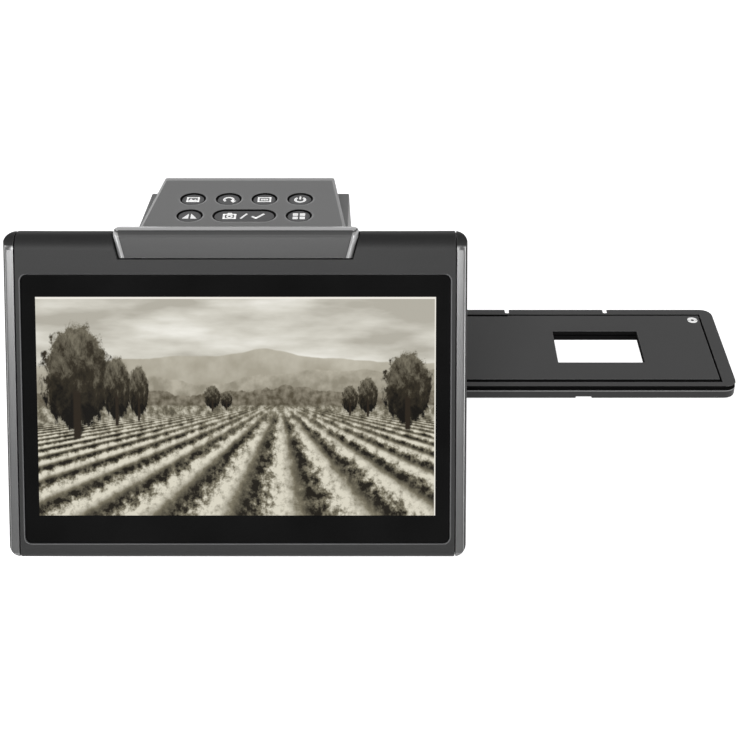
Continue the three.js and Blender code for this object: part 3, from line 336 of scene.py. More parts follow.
def picture_layers(tree, across, up):
    """A made-up country view in sepia: sky, three ranges of hills, a ploughed field and trees."""
    flat = add(tree, "CombineXYZ", {"X": across, "Y": up})
    cloud_place = add(tree, "Mapping", {"Vector": flat, "Scale": (1.1, 5.0, 1.0)})
    clouds = add(tree, "TexNoise", {"Vector": cloud_place, "Scale": 1.6, "Detail": 5.0})
    high = add(tree, "Math", {0: up, 1: 0.35, 2: -0.18}, operation="MULTIPLY_ADD")
    sky_level = add(tree, "Math", {0: clouds, 1: high}, operation="SUBTRACT")
    picture = add(tree, "ValToRGB", {"Fac": sky_level}, stops=[
        (0.25, "#b2aea2"), (0.42, "#d3d0c5"), (0.6, "#f0eee6")])
    # height of the ridge, its swing, swings over the width, roughness of its line, light and dark
    # tone, and how fine its woods are
    ranges = [
        (0.735, 0.13, 1.1, 0.45, "#c0bbac", "#a59f8f", 6.0),
        (0.655, 0.12, 1.7, 0.5, "#b6b0a0", "#8f8979", 14.0),
        (0.575, 0.10, 2.3, 0.62, "#8c8575", "#544d3d", 30.0)]
    for index, (height, swing, waves, edge, light, dark, texture) in enumerate(ranges):
        line = add(tree, "CombineXYZ", {"X": across, "Y": 3.7 * index + 1.3})
        ridge = add(tree, "TexNoise", {
            "Vector": line, "Scale": waves, "Detail": 6.0, "Roughness": edge})
        top = add(tree, "Math", {0: ridge, 1: swing * 2, 2: height - swing}, operation="MULTIPLY_ADD")
        below = add(tree, "Math", {0: top, 1: up}, operation="SUBTRACT")
        share = add(tree, "MapRange", {"Value": below, "From Min": 0.0, "From Max": 0.006})
        woods = add(tree, "TexNoise", {"Vector": flat, "Scale": texture, "Detail": 4.0})
        slope = add(tree, "Math", {0: below, 1: -1.6, 2: woods}, operation="MULTIPLY_ADD")
        ground = add(tree, "ValToRGB", {"Fac": slope}, stops=[(0.3, dark), (0.62, light)])
        picture = add(tree, "Mix", {0: share, 6: picture, 7: ground}, data_type="RGBA")
    # the field starts under the hills; its furrows run to one vanishing point just above it
    field_top = 0.5
    vanishing_across, vanishing_up = 0.22, field_top + 0.03
    depth = add(tree, "Math", {0: vanishing_up, 1: up}, operation="SUBTRACT")
    sideways = add(tree, "Math", {0: across, 1: vanishing_across}, operation="SUBTRACT")
    ray = add(tree, "Math", {0: sideways, 1: depth}, operation="DIVIDE")
    clods = add(tree, "TexNoise", {"Vector": flat, "Scale": 26.0, "Detail": 5.0, "Roughness": 0.65})
    shaken = add(tree, "Math", {0: clods, 1: 0.35, 2: ray}, operation="MULTIPLY_ADD")
    furrows = add(tree, "Math", {0: shaken, 1: 9.0}, operation="MULTIPLY")
    wave = add(tree, "Math", {0: furrows}, operation="SINE")
    fade = add(tree, "MapRange", {
        "Value": depth, "From Min": 0.03, "From Max": 0.2, "To Min": 0.02, "To Max": 0.2})
    stripes = add(tree, "Math", {0: wave, 1: fade, 2: clods}, operation="MULTIPLY_ADD")
    soil = add(tree, "ValToRGB", {"Fac": stripes}, stops=[
        (0.27, "#1e1a12"), (0.48, "#77715f"), (0.72, "#dad5c4")])
    in_field = add(tree, "MapRange", {
        "Value": up, "From Min": field_top + 0.012, "From Max": field_top})
    picture = add(tree, "Mix", {0: in_field, 6: picture, 7: soil}, data_type="RGBA")
    # trees: place across, foot, half width, height, and how ragged the crown is
    trees = [
        (-0.8, 0.36, 0.17, 0.5, 0.3), (-0.6, 0.42, 0.07, 0.3, 0.22), (-0.49, 0.44, 0.05, 0.24, 0.2),
        (0.86, 0.4, 0.12, 0.34, 0.28), (0.66, 0.46, 0.05, 0.17, 0.2), (0.57, 0.465, 0.04, 0.13, 0.2),
        (-0.12, 0.485, 0.04, 0.11, 0.2), (-0.05, 0.49, 0.03, 0.08, 0.2)]
    for x, foot, half, tall, ragged in trees:
        middle, rise = foot + tall * 0.55, 2.1 / tall
        du = add(tree, "Math", {0: across, 1: 1 / half, 2: -x / half}, operation="MULTIPLY_ADD")
        dv = add(tree, "Math", {0: up, 1: rise, 2: -middle * rise}, operation="MULTIPLY_ADD")
        shape = add(tree, "CombineXYZ", {"X": du, "Y": dv})
        reach = add(tree, "VectorMath", {0: shape}, operation="LENGTH")
        leaves = add(tree, "TexNoise", {
            "Vector": shape, "Scale": 2.6, "Detail": 7.0, "Roughness": 0.72, "Distortion": 0.3})
        crown = add(tree, "Math", {
            0: leaves, 1: ragged * 4, 2: reach.outputs["Value"]}, operation="MULTIPLY_ADD")
        limit = 1.0 + ragged * 2
        inside = add(tree, "MapRange", {
            "Value": crown, "From Min": limit + 0.06, "From Max": limit - 0.06})
        lit = add(tree, "Math", {0: dv, 1: 0.22, 2: leaves}, operation="MULTIPLY_ADD")
        foliage = add(tree, "ValToRGB", {"Fac": lit}, stops=[
            (0.32, "#0f0c07"), (0.52, "#332d21"), (0.72, "#767060")])
        picture = add(tree, "Mix", {0: inside, 6: picture, 7: foliage}, data_type="RGBA")
        stem_x = add(tree, "Math", {0: du}, operation="ABSOLUTE")
        trunk_side = add(tree, "MapRange", {"Value": stem_x, "From Min": 0.14, "From Max": 0.08})
        trunk_top = add(tree, "MapRange", {"Value": dv, "From Min": -0.2, "From Max": -0.3})
        trunk_low = add(tree, "MapRange", {"Value": up, "From Min": foot - 0.01, "From Max": foot})
        both = add(tree, "Math", {0: trunk_side, 1: trunk_top}, operation="MULTIPLY")
        trunk = add(tree, "Math", {0: both, 1: trunk_low}, operation="MULTIPLY")
        picture = add(tree, "Mix", {0: trunk, 6: picture, 7: colour("#2a2218")}, data_type="RGBA")
    return picture


def screen_cover():
    """Polished acrylic, printed black from behind round the lit picture."""
    material, tree, place, surface = blank("back_printed_acrylic")
    upright = add(tree, "Mapping", {
        "Vector": place, "Location": Vector(HINGE) * MM, "Rotation": (TILT, 0.0, 0.0)},
        vector_type="TEXTURE")
    parts = add(tree, "SeparateXYZ", {"Vector": upright})
    across = add(tree, "Math", {0: parts.outputs["X"], 1: PICTURE_HALF_WIDTH * MM}, operation="DIVIDE")
    up = add(tree, "MapRange", {
        "Value": parts.outputs["Z"], "From Min": PICTURE_BOTTOM * MM, "From Max": PICTURE_TOP * MM},
        clamp=False)
    picture = picture_layers(tree, across, up)
    # the panel's backlight shows as a thin pale line along the top and the right edge
    line = add(tree, "Math", {0: across, 1: 0.994}, operation="GREATER_THAN")
    over = add(tree, "Math", {0: up, 1: 0.991}, operation="GREATER_THAN")
    rim = add(tree, "Math", {0: line, 1: over}, operation="MAXIMUM")
    picture = add(tree, "Mix", {0: rim, 6: picture, 7: colour("#efebe2")}, data_type="RGBA")
    width = add(tree, "Math", {0: across}, operation="ABSOLUTE")
    centred = add(tree, "Math", {0: up, 1: 2.0, 2: -1.0}, operation="MULTIPLY_ADD")
    height = add(tree, "Math", {0: centred}, operation="ABSOLUTE")
    furthest = add(tree, "Math", {0: width, 1: height}, operation="MAXIMUM")
    lit = add(tree, "Math", {0: furthest, 1: 1.0}, operation="LESS_THAN")
    smear = add(tree, "TexNoise", {"Vector": place, "Scale": 1 / (30 * MM), "Detail": 3.0})
    ink = add(tree, "ValToRGB", {"Fac": smear}, stops=[(0.3, "#101010"), (0.7, "#161616")])
    rough = add(tree, "MapRange", {"Value": smear, "To Min": 0.03, "To Max": 0.09})
    feed(surface, {
        "Base Color": ink, "Roughness": rough, "Specular IOR Level": 0.05, "Emission Color": picture,
        "Emission Strength": lit})
    return material


satin = flake_lacquer()
steel = plated_steel()
board = solder_mask()
cover_glass = screen_cover()
# tampon-printed white ink, dense; it glows a little, painted light that stands in for its brightener
# giving back ultraviolet light as visible, so it reads whiter than what falls on it
ink_white = mottled("tampon_printed_ink", 0.5, [(0.3, "#fafaf9"), (0.7, "#ffffff")], 0.45, 0.6, 0.3)
# contacts: thin gold over nickel, mottled where the plating is thinner
gold = mottled(
    "gold_plated_contact", 0.7, [(0.35, "#c9a862"), (0.65, "#dcc07e")], 0.2, 0.35, Metallic=1.0)
# lens: clear glass with the violet cast of its coating
lens = mottled("coated_optical_glass", 0.6, [(0.3, "#8a86b0"), (0.7, "#a09cc4")], 0.02, 0.06,
               Transmission_Weight=0.85, IOR=1.52)


# Meshes
def loft(name, rings):
    """Solid whose skin runs through rings of equally many points, with both ends capped."""
    made = bmesh.new()
    rows = [[made.verts.new(Vector(p) * MM) for p in ring] for ring in rings]
    for low, high in zip(rows, rows[1:]):
        for i in range(len(low)):
            j = (i + 1) % len(low)
            made.faces.new((low[i], low[j], high[j], high[i]))
    made.faces.new(list(reversed(rows[0])))
    made.faces.new(rows[-1])
    return mesh_object(name, made)


def as_object(name, made):
    """Object of a bmesh, or an empty one where there is none."""
    mesh = bpy.data.meshes.new(name)
    if made:
        made.to_mesh(mesh)
        made.free()
    obj = bpy.data.objects.new(name, mesh)
    scene.collection.objects.link(obj)
    return obj


def mesh_object(name, made):
    """Object of a bmesh whose faces are first turned outwards."""
    bmesh.ops.recalc_face_normals(made, faces=made.faces)
    return as_object(name, made)


def prism(name, outline, start, end, axis=2):
    """Solid of a flat outline that runs along an axis; its points give the other two places."""
    return loft(name, [
        [(*point[:axis], level, *point[axis:]) for point in outline] for level in (start, end)])


def copy_of(node, name):
    """The CAD node's shape as a new piece, its loose triangles merged into whole faces."""
    made = bmesh.new()
    made.from_mesh(cad_nodes[node].data)
    same_point = 0.002 * MM
    same_plane = math.radians(0.5)
    bmesh.ops.remove_doubles(made, verts=made.verts, dist=same_point)
    bmesh.ops.dissolve_limit(
        made, angle_limit=same_plane, verts=made.verts, edges=made.edges, delimit=set())
    return as_object(name, made)


def settled(obj):
    """Turns the object's modifiers into plain mesh."""
    graph = bpy.context.evaluated_depsgraph_get()
    mesh = bpy.data.meshes.new_from_object(obj.evaluated_get(graph))
    obj.modifiers.clear()
    obj.data = mesh
    return obj


def carved(obj, tools, operation="DIFFERENCE"):
    """Cuts obj with each tool, or keeps what they share, and removes the tools."""
    for tool in tools:
        cut = obj.modifiers.new("cut", "BOOLEAN")
        cut.operation = operation
        cut.solver = "EXACT"
        cut.object = tool
    settled(obj)
    for tool in tools:
        bpy.data.objects.remove(tool)
    return obj


def joined(obj, others):
    """Takes the meshes of the others into obj and keeps their materials."""
    whole = bmesh.new()
    slots = []
    for part in [obj, *others]:
        offset = len(slots)
        slots.extend(part.data.materials)
        before = len(whole.faces)
        whole.from_mesh(part.data)
        whole.faces.ensure_lookup_table()
        for face in whole.faces[before:]:
            face.material_index += offset
    mesh = bpy.data.meshes.new(obj.name)
    whole.to_mesh(mesh)
    whole.free()
    for slot in slots:
        mesh.materials.append(slot)
    obj.data = mesh
    for part in others:
        bpy.data.objects.remove(part)
    return obj


def smooth(obj, edge, angle=34.0, segments=3):
    """Rounds the edges that are sharper than the angle and shades the rest smooth."""
    if edge:
        bevel = obj.modifiers.new("edge", "BEVEL")
        bevel.width = edge * MM
        bevel.segments = segments
        bevel.limit_method = "ANGLE"
        bevel.angle_limit = math.radians(angle)
        bevel.use_clamp_overlap = False
        settled(obj)
    for polygon in obj.data.polygons:
        polygon.use_smooth = True
    obj.data.set_sharp_from_angle(angle=math.radians(angle))
    weighted = obj.modifiers.new("normals", "WEIGHTED_NORMAL")
    weighted.keep_sharp = True
    settled(obj)
    return obj


def finished(obj, finishes, choose, place=Matrix()):
    """Gives each face the finish that choose names for its centre in millimetres and its normal,
    both as they are before the piece is put in its place."""
    obj.data.materials.clear()
    for finish in finishes:
        obj.data.materials.append(finish)
    back = place.inverted()
    turned_back = back.to_3x3()
    for polygon in obj.data.polygons:
        polygon.material_index = choose(back @ polygon.center / MM, turned_back @ polygon.normal)
    return obj


def dress(obj, body, nodes):
    """Puts a finished piece under its body and hides the CAD nodes it stands for."""
    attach(obj, body)
    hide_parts(*nodes)


def rounded_copy(node, name, material, body, edge):
    """A copy with rounded edges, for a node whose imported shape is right."""
    obj = smooth(copy_of(node, name), edge)
    obj.data.materials.append(material)
    dress(obj, body, [node])
    return obj


def arc(cx, cy, radius, start, end, steps):
    angles = [math.radians(start + (end - start) * i / steps) for i in range(steps + 1)]
    return [(cx + radius * math.cos(a), cy + radius * math.sin(a)) for a in angles]


def pill(cx, cy, half, radius, z, steps=32):
    """Outline of two half circles joined by straight sides; a circle where half is 0."""
    if half:
        points = arc(cx + half, cy, radius, -90, 90, steps) + arc(cx - half, cy, radius, 90, 270, steps)
    else:
        count = 2 * steps + 2
        points = arc(cx, cy, radius, -90, 270 - 360 / count, count - 1)
    return [(x, y, z) for x, y in points]


def rounded(x0, x1, y0, y1, radius, steps=6, far_radius=None):
    """Rounded rectangle; far_radius is for the two corners at y1."""
    far = radius if far_radius is None else far_radius
    return (arc(x1 - radius, y0 + radius, radius, -90, 0, steps)
            + arc(x1 - far, y1 - far, far, 0, 90, steps)
            + arc(x0 + far, y1 - far, far, 90, 180, steps)
            + arc(x0 + radius, y0 + radius, radius, 180, 270, steps))


# Display: strips down both sides, cut from the same body as the housing but with finer rounding
def display_profile():
    depth = DISPLAY_HALF_DEPTH
    r = DISPLAY_LOW_ROUND
    low = DISPLAY_BOTTOM + r
    return (arc(depth - r, low, r, -90, 0, 5) + arc(0.0, 0.0, depth, 0, 180, 24)
            + arc(r - depth, low, r, 180, 270, 5))


def side_trim(side, node, name):
    def choice(centre, normal):
        """The round top and the outer face take the frame's dark ABS: painted shade where the strip
        turns away from the light.
        """
        on_top = normal.z > FACING / 2 and centre.z > 0
        return int(on_top or side * normal.x > FACING)

    half, depth = DISPLAY_HALF_WIDTH, DISPLAY_HALF_DEPTH
    low_corner, high_corner = DISPLAY_CORNERS
    trim = prism(name, display_profile(), *sorted((side * TRIM_INNER, side * half)), 0)
    front = rounded(-half, half, DISPLAY_BOTTOM, DISPLAY_TOP, low_corner, 10, high_corner)
    plan = rounded(-half, half, -depth, depth, DISPLAY_PLAN_ROUND, 12)
    carved(trim, [prism("front_tool", front, -2 * depth, 2 * depth, 1),
                  prism("plan_tool", plan, -130.0, 20.0)], "INTERSECT")
    finished(trim, (satin, front_abs), choice)
    trim.data.transform(display_place)
    smooth(trim, 0.2, 40.0, 2)
    dress(trim, "display", [node])


side_trim(-1, "side_trim_left", "trim_strip_left")
side_trim(1, "side_trim_right", "trim_strip_right")


def frame_choice(centre, normal):
    """The sloping edge of the recess for the glass takes the keys' finish: smoother, and a little
    lighter as a painted highlight along the edge.
    """
    in_recess = abs(centre.x) < RECESS_HALF and RECESS_BOTTOM < centre.z < RECESS_TOP
    least, most = RECESS_EDGE
    return int(in_recess and centre.y < RECESS_BACK and least < normal.y < most)


front_frame = rounded_copy("display_frame", "front_frame", front_abs, "display", 0.45)
finished(front_frame, (front_abs, key_abs), frame_choice, display_place)
rounded_copy("display_rear_cover", "rear_cover", housing, "display", 0.25)


# Hinge tab: the imported shape, with its two slanted ends turned over in a wide buffed round; the ends
# and the crown carry painted highlights
def tab_section(sink):
    """Outline across the tab, sunk by a distance: flat front, tight round, flatter crown."""
    turn = math.radians(TAB_TURN)
    wider = TAB_CROWN - TAB_FRONT_ROUND
    y = TAB_FRONT_ROUND - DISPLAY_HALF_DEPTH
    z = TAB_TOP - TAB_CROWN
    front = arc(y, z + wider * math.sin(turn), TAB_FRONT_ROUND - sink, 180, 180 - TAB_TURN, 8)
    crown = arc(y + wider * math.cos(turn), z, TAB_CROWN - sink, 180 - TAB_TURN, TAB_TURN, 16)
    low = TAB_BOTTOM - 1
    return [(sink - DISPLAY_HALF_DEPTH, low)] + front[:-1] + crown + [(TAB_BACK, low)]


def tab_half_width(z):
    return TAB_HALF_BOTTOM + TAB_SLOPE * (z - TAB_BOTTOM)


def tab_choice(centre, normal):
    """Front, crown, front round, and the two ends; the crown and the ends are painted pale as
    highlights.
    """
    least, most = TAB_END_ACROSS
    on_end = least < abs(normal.x) < most and normal.y < TAB_END_FRONT
    if on_end and normal.z < TAB_END_RISE:
        return 3
    if normal.z > TAB_CROWN_RISE:
        return 1
    return 2 if normal.z > TAB_ROUND_RISE and normal.y < 0 else 0


def hinge_tab():
    turns = [math.radians(9 * step) for step in range(11)]
    ends = [(TAB_ROUND * (1 - math.sin(turn)), TAB_ROUND * (1 - math.cos(turn))) for turn in turns]
    rings = []
    for side, order in ((-1, reversed(ends)), (1, ends)):
        for inset, sink in order:
            rings.append([(side * (tab_half_width(z) - inset), y, z) for y, z in tab_section(sink)])
    envelope = loft("tab_envelope", rings)
    envelope.data.transform(display_place)
    tab = carved(copy_of("hinge_cover", "hinge_tab"), [envelope], "INTERSECT")
    finished(tab, (cover_abs, crown_highlight_abs, round_abs, buffed_and_highlight_abs), tab_choice, display_place)
    dress(smooth(tab, 0.12, 40.0, 2), "display", ["hinge_cover"])


hinge_tab()
rounded_copy("cover_glass", "screen_window", cover_glass, "display", 0.15)

# Shells of the tower and the base
rounded_copy("tower_shell", "tower_walls", tower_abs, "base", 0.3)
rounded_copy("base_shell", "base_tub", housing, "base", 0.3)
rounded_copy("port_panel", "rear_port_panel", inner_ps, "base", 0.2)


# Tray: two frames and the lid, with two white arcs printed near its corner
def band(cx, cy, inner, outer, start, end):
    return arc(cx, cy, outer, start, end, 24) + arc(cx, cy, inner, end, start, 24)


def printed(outlines, top):
    """Thin solids of white ink on a surface."""
    shapes = [prism("print", outline, top - INK_SINK, top + INK_RISE) for outline in outlines]
    for shape in shapes:
        shape.data.materials.append(ink_white)
    return shapes


def scored(obj, levels):
    """Cuts the faces along level lines, so that their parts can take different finishes."""
    made = bmesh.new()
    made.from_mesh(obj.data)
    on_line = 1e-7
    for level in levels:
        every = [*made.verts, *made.edges, *made.faces]
        bmesh.ops.bisect_plane(
            made, geom=every, dist=on_line, plane_co=(0, 0, level * MM), plane_no=(0, 0, 1))
    made.to_mesh(obj.data)
    made.free()
    return obj


# Faces of the top frame that do not face up are black: a real lining in the window, and a painted
# shadow on the lip's face and along the gaps.
def top_choice(centre, normal):
    return int(normal.z < FACING)


def under_choice(centre, normal):
    """Black on top and high on the outer wall, a painted shadow, and in the window, a real lining;
    below that a pale line round the outer wall, a painted highlight, and darker ABS, painted shade.
    """
    x, y, width, depth = WINDOW
    across, along = centre.x - x, centre.y - y
    by_window = abs(across) < width / 2 + WINDOW_WALL and abs(along) < depth / 2 + WINDOW_WALL
    if normal.z > FACING or centre.z > UNDER_PAINTED_SHADOW or by_window:
        return 1
    return 2 if across * normal.x + along * normal.y > 0 and centre.z > UNDER_PAINTED_HIGHLIGHT else 0


# The lid's upright edges are black: a real lining in the window, and a painted shadow along the groove
# round the lid.
def lid_choice(centre, normal):
    return int(abs(normal.z) < FACING)


top_frame = finished(copy_of("tray_upper_frame", "tray_top_frame"), (tray_abs, flock_and_shadow), top_choice)
dress(smooth(top_frame, 0.3), "film_tray", ["tray_upper_frame"])
under_frame = scored(copy_of("tray_lower_frame", "tray_under_frame"), (UNDER_PAINTED_SHADOW, UNDER_PAINTED_HIGHLIGHT))
finished(under_frame, (under_shaded_abs, flock_and_shadow, housing), under_choice)
dress(smooth(under_frame, 0.35), "film_tray", ["tray_lower_frame"])
lid = smooth(finished(copy_of("tray_lid", "film_tray_lid"), (tray_abs, flock_and_shadow), lid_choice), 0.12)
lid_marks = [band(*MARK, *MARK_RADII, start, start + MARK_SWEEP) for start in MARK_STARTS]
joined(lid, printed(lid_marks, LID_TOP))
dress(lid, "tray_lid", ["tray_lid"])


# Deck: lofted body, then the cavity, the shoulder under it and the seven dished holes are cut out
def deck_outline(side, front, rear, z):
    """Plan of the deck at a height, set in by the given distances."""
    def half_width(y):
        narrowing = (DECK_WIDTH[0] - DECK_WIDTH[1]) * (y - DECK_FRONT) / DECK_DEPTH
        return (DECK_WIDTH[0] - narrowing) / 2 - side
    r = DECK_CORNER
    y0 = DECK_FRONT + front
    y1 = DECK_FRONT + DECK_DEPTH - rear
    near, far = half_width(y0) - r, half_width(y1) - r
    points = (arc(near, y0 + r, r, -90, 0, 5) + arc(far, y1 - r, r, 0, 90, 5)
              + arc(-far, y1 - r, r, 90, 180, 5) + arc(-near, y0 + r, r, 180, 270, 5))
    return [(x, y, z) for x, y in points]


# name, middle, and half the straight length of each button
buttons = [
    (name, column * BUTTON_PITCH, BUTTON_Y[row], PILL_HALF if name == "scan" else 0.0)
    for name, column, row in (
        ("picture_mode", -1.5, 0), ("rotate", -0.5, 0), ("film_type", 0.5, 0), ("power", 1.5, 0),
        ("mirror", -1.5, 1), ("scan", 0.0, 1), ("gallery", 1.5, 1))]

# how far each ring of the top edge is set in at the sides and the rear, and how low it lies
edge_steps = [(0.0, 0.0, EDGE_DEPTH), (0.04, 0.04, 0.88), (0.16, 0.15, 0.74), (0.38, 0.4, 0.62),
              (0.7, 1.4, 0.46), (1.0, 2.5, 0.27), (1.25, 3.5, 0.11), (1.5, 4.2, 0.0)]
rings = [deck_outline(side, 0, rear, DECK_TOP - low)
         for side, rear, low in [(-0.9, -0.45, DECK_TOP - DECK_SKIRT)] + edge_steps]
deck = loft("key_deck", rings)
cavity = loft("cavity", [deck_outline(2, 2, 3, z) for z in (100.0, DECK_ROOF)])
under_slope = ((10, 100), (90, 100), (90, 118.4), (82.8, 118.4), (30, 126.45), (10, 126.45))
shoulder = prism("shoulder", under_slope, -60, 60, 0)
# radius and height of each hole: straight up, then opening in a shallow dish
hole_profile = [(5.0, 110.0), (5.0, 126.3), (5.1, 126.5), (5.25, 126.64), (DISH_RADIUS, 126.74),
                (5.9, 126.82), (DISH_OUTER, 126.92), (DISH_OUTER, 130.0)]
holes = [loft("hole", [pill(x, y, half, r, z) for r, z in hole_profile])
         for name, x, y, half in buttons]
carved(deck, [cavity, shoulder] + holes)


def deck_choice(centre, normal):
    """Black in the holes, a painted shadow; glossy and a little paler round the top edge and the outer
    part of each dish, a painted highlight.
    """
    to_key = min(math.hypot(max(abs(centre.x - x) - half, 0.0), centre.y - y)
                 for name, x, y, half in buttons)
    if to_key < DISH_RADIUS and normal.z < HOLE_RISE:
        return 1
    least, most = DECK_EDGE
    return 2 if centre.z > DECK_TOP - EDGE_DEPTH and least < normal.z < most else 0


finished(deck, (housing, flock_and_shadow, polished_edge_highlight_abs), deck_choice)
smooth(deck, 0.1, 40.0, 2)
dress(deck, "base", ["control_deck"])


# Keys: caps with a rounded rim, flange and stem, and printed signs of the builder's own
def bar(x0, y0, x1, y1, width):
    """Straight stroke as a four-sided outline."""
    dx, dy = x1 - x0, y1 - y0
    scale = width / 2 / math.hypot(dx, dy)
    nx, ny = -dy * scale, dx * scale
    return [(x0 - nx, y0 - ny), (x1 - nx, y1 - ny), (x1 + nx, y1 + ny), (x0 + nx, y0 + ny)]


def box_lines(x0, y0, x1, y1, width):
    h = width / 2
    return [bar(x0 - h, y0, x1 + h, y0, width), bar(x0 - h, y1, x1 + h, y1, width),
            bar(x0, y0, x0, y1, width), bar(x1, y0, x1, y1, width)]


STROKE = 0.52
SIGN_SCALE = 1.45
SIGNS = {
    "picture_mode": box_lines(-1.6, -1.2, 1.6, 1.2, STROKE) + [
        [(-1.4, -1.0), (0.3, -1.0), (-0.6, 0.7)], [(-0.2, -1.0), (1.4, -1.0), (0.7, 0.3)]],
    "rotate": [band(0, 0, 0.95, 1.65, -40, 230), [(2.2, -0.7), (0.45, -0.55), (1.4, -2.0)]],
    "film_type": box_lines(-1.7, -1.2, 1.7, 1.2, STROKE) + [
        rounded(x - 0.32, x + 0.32, -0.45, 0.45, 0.1, 2) for x in (-0.75, 0.0, 0.75)],
    "power": [band(0, -0.1, 1.05, 1.75, 125, 415), bar(0, 0.1, 0, 1.95, STROKE)],
    "mirror": [[(-2.1, -1.4), (-0.3, -1.4), (-0.3, 1.6)], [(2.1, -1.4), (0.3, 1.6), (0.3, -1.4)]],
    "scan": [band(-4.2, -0.1, 0.4, 0.95, 0, 358)] + box_lines(-5.8, -1.3, -2.6, 1.1, 0.6) + [
        [(-5.0, 1.3), (-3.4, 1.3), (-3.7, 2.0), (-4.7, 2.0)], bar(-1.0, -1.4, 0.7, 1.5, 0.6),
        bar(2.2, -0.1, 3.5, -1.3, 0.7), bar(3.3, -1.25, 5.6, 1.4, 0.7)],
    "gallery": [rounded(x, x + 1.5, y, y + 1.5, 0.2, 3) for x in (-1.75, 0.25) for y in (-1.75, 0.25)],
}

rim_turns = [math.radians(18 * step) for step in range(6)]
for name, x, y, half in buttons:
    profile = [(STEM_RADIUS, STEM_LOW, 0.0), (STEM_RADIUS, FLANGE_LOW, 0.0),
               (FLANGE_RADIUS, FLANGE_LOW, half), (FLANGE_RADIUS, FLANGE_TOP, half),
               (BUTTON_RADIUS, FLANGE_TOP, half)]
    profile += [(BUTTON_RADIUS - BUTTON_RIM * (1 - math.cos(turn)),
                 BUTTON_TOP - BUTTON_RIM * (1 - math.sin(turn)), half) for turn in rim_turns]
    cap = loft("key_" + name, [pill(x, y, h, r, z) for r, z, h in profile])
    cap.data.materials.append(key_abs)
    smooth(cap, 0)
    signs = [[(x + SIGN_SCALE * sx, y + SIGN_SCALE * sy) for sx, sy in outline]
             for outline in SIGNS[name]]
    joined(cap, printed(signs, BUTTON_TOP))
    dress(cap, "button_" + name, ["button_" + name])


# Repeated small parts, set in rows by one geometry tree
def parts_in_rows():
    """Copies of a part in columns and rows, each shifted at random, some left out, all one mesh."""
    tree = bpy.data.node_groups.new("parts_in_rows", "GeometryNodeTree")
    kinds = {"Part": "Object", "Columns": "Int", "Rows": "Int", "First": "Vector",
             "Column Step": "Vector", "Row Step": "Vector", "Shift": "Vector", "Missing": "Float",
             "Seed": "Int", "Finish": "Material"}
    for label, kind in kinds.items():
        tree.interface.new_socket(label, in_out="INPUT", socket_type="NodeSocket" + kind)
    tree.interface.new_socket("Geometry", in_out="OUTPUT", socket_type="NodeSocketGeometry")
    given = add(tree, "NodeGroupInput").outputs
    columns = add(tree, "GeometryNodeMeshLine", {
        "Count": given["Columns"], "Start Location": given["First"], "Offset": given["Column Step"]})
    rows = add(tree, "GeometryNodeMeshLine", {"Count": given["Rows"], "Offset": given["Row Step"]})
    grid = add(tree, "GeometryNodeInstanceOnPoints", {"Points": rows, "Instance": columns})
    places = add(tree, "GeometryNodeRealizeInstances", {"Geometry": grid})
    back = add(tree, "VectorMath", {0: given["Shift"], "Scale": -1.0}, operation="SCALE")
    shift = add(tree, "FunctionNodeRandomValue", {0: back, 1: given["Shift"], 8: given["Seed"]},
                data_type="FLOAT_VECTOR")
    shifted = add(tree, "GeometryNodeSetPosition", {"Geometry": places, "Offset": shift})
    gone = add(tree, "FunctionNodeRandomValue", {6: given["Missing"], 8: given["Seed"]},
               data_type="BOOLEAN")
    used = add(tree, "GeometryNodeDeleteGeometry", {"Geometry": shifted, "Selection": gone})
    part = add(tree, "GeometryNodeObjectInfo", {"Object": given["Part"]})
    copies = add(tree, "GeometryNodeInstanceOnPoints", {
        "Points": used, "Instance": part.outputs["Geometry"]})
    merged = add(tree, "GeometryNodeRealizeInstances", {"Geometry": copies})
    coated = add(tree, "GeometryNodeSetMaterial", {"Geometry": merged, "Material": given["Finish"]})
    add(tree, "NodeGroupOutput", {"Geometry": coated})
    return tree


rows_tree = parts_in_rows()


def in_rows(name, part, finish, first, columns, column_step, rows=1, row_step=(0, 0, 0), **more):
    """Mesh of the part's copies; places and steps in millimetres."""
    values = {"Part": part, "Columns": columns, "Rows": rows, "First": first,
              "Column Step": column_step, "Row Step": row_step, "Shift": (0, 0, 0), "Missing": 0.0,
              "Seed": 1, "Finish": finish, **more}
    carrier = as_object(name, None)
    modifier = carrier.modifiers.new("rows", "NODES")
    modifier.node_group = rows_tree
    for item in rows_tree.interface.items_tree:
        if item.in_out == "INPUT":
            value = values[item.name]
            if isinstance(value, tuple):
                value = tuple(length * MM for length in value)
            modifier[item.identifier] = value
    return settled(carrier)


def slab(name, x0, x1, y0, y1, z0, z1, radius=0.05):
    """Thin block with slightly rounded upright corners."""
    return prism(name, rounded(x0, x1, y0, y1, radius, 1), z0, z1)


# Foot strips: rubber pads whose undersides carry ribs across them
rib = slab("rib", -0.8, 0.8, -2.3, 2.3, 0.0, 0.8, 0.5)
for node, name, foot_y in (("front_foot", "front_pad", 0.0), ("rear_foot", "rear_pad", 82.0)):
    # how far each ring of the pad's side is set in, and its height
    sides = [(0.4, 0.7), (0.1, 0.8), (0.0, 1.1), (0.0, 3.0)]
    pad = loft(name, [pill(0, foot_y, FOOT_HALF, FOOT_ROUND - inset, z, 12) for inset, z in sides])
    pad.data.materials.append(rubber)
    ribs = in_rows("ribs", rib, rubber, (-34.2, foot_y, 0.0), 20, (3.6, 0, 0))
    smooth(joined(pad, [ribs]), 0.12, 40.0, 2)
    dress(pad, "base", [node])


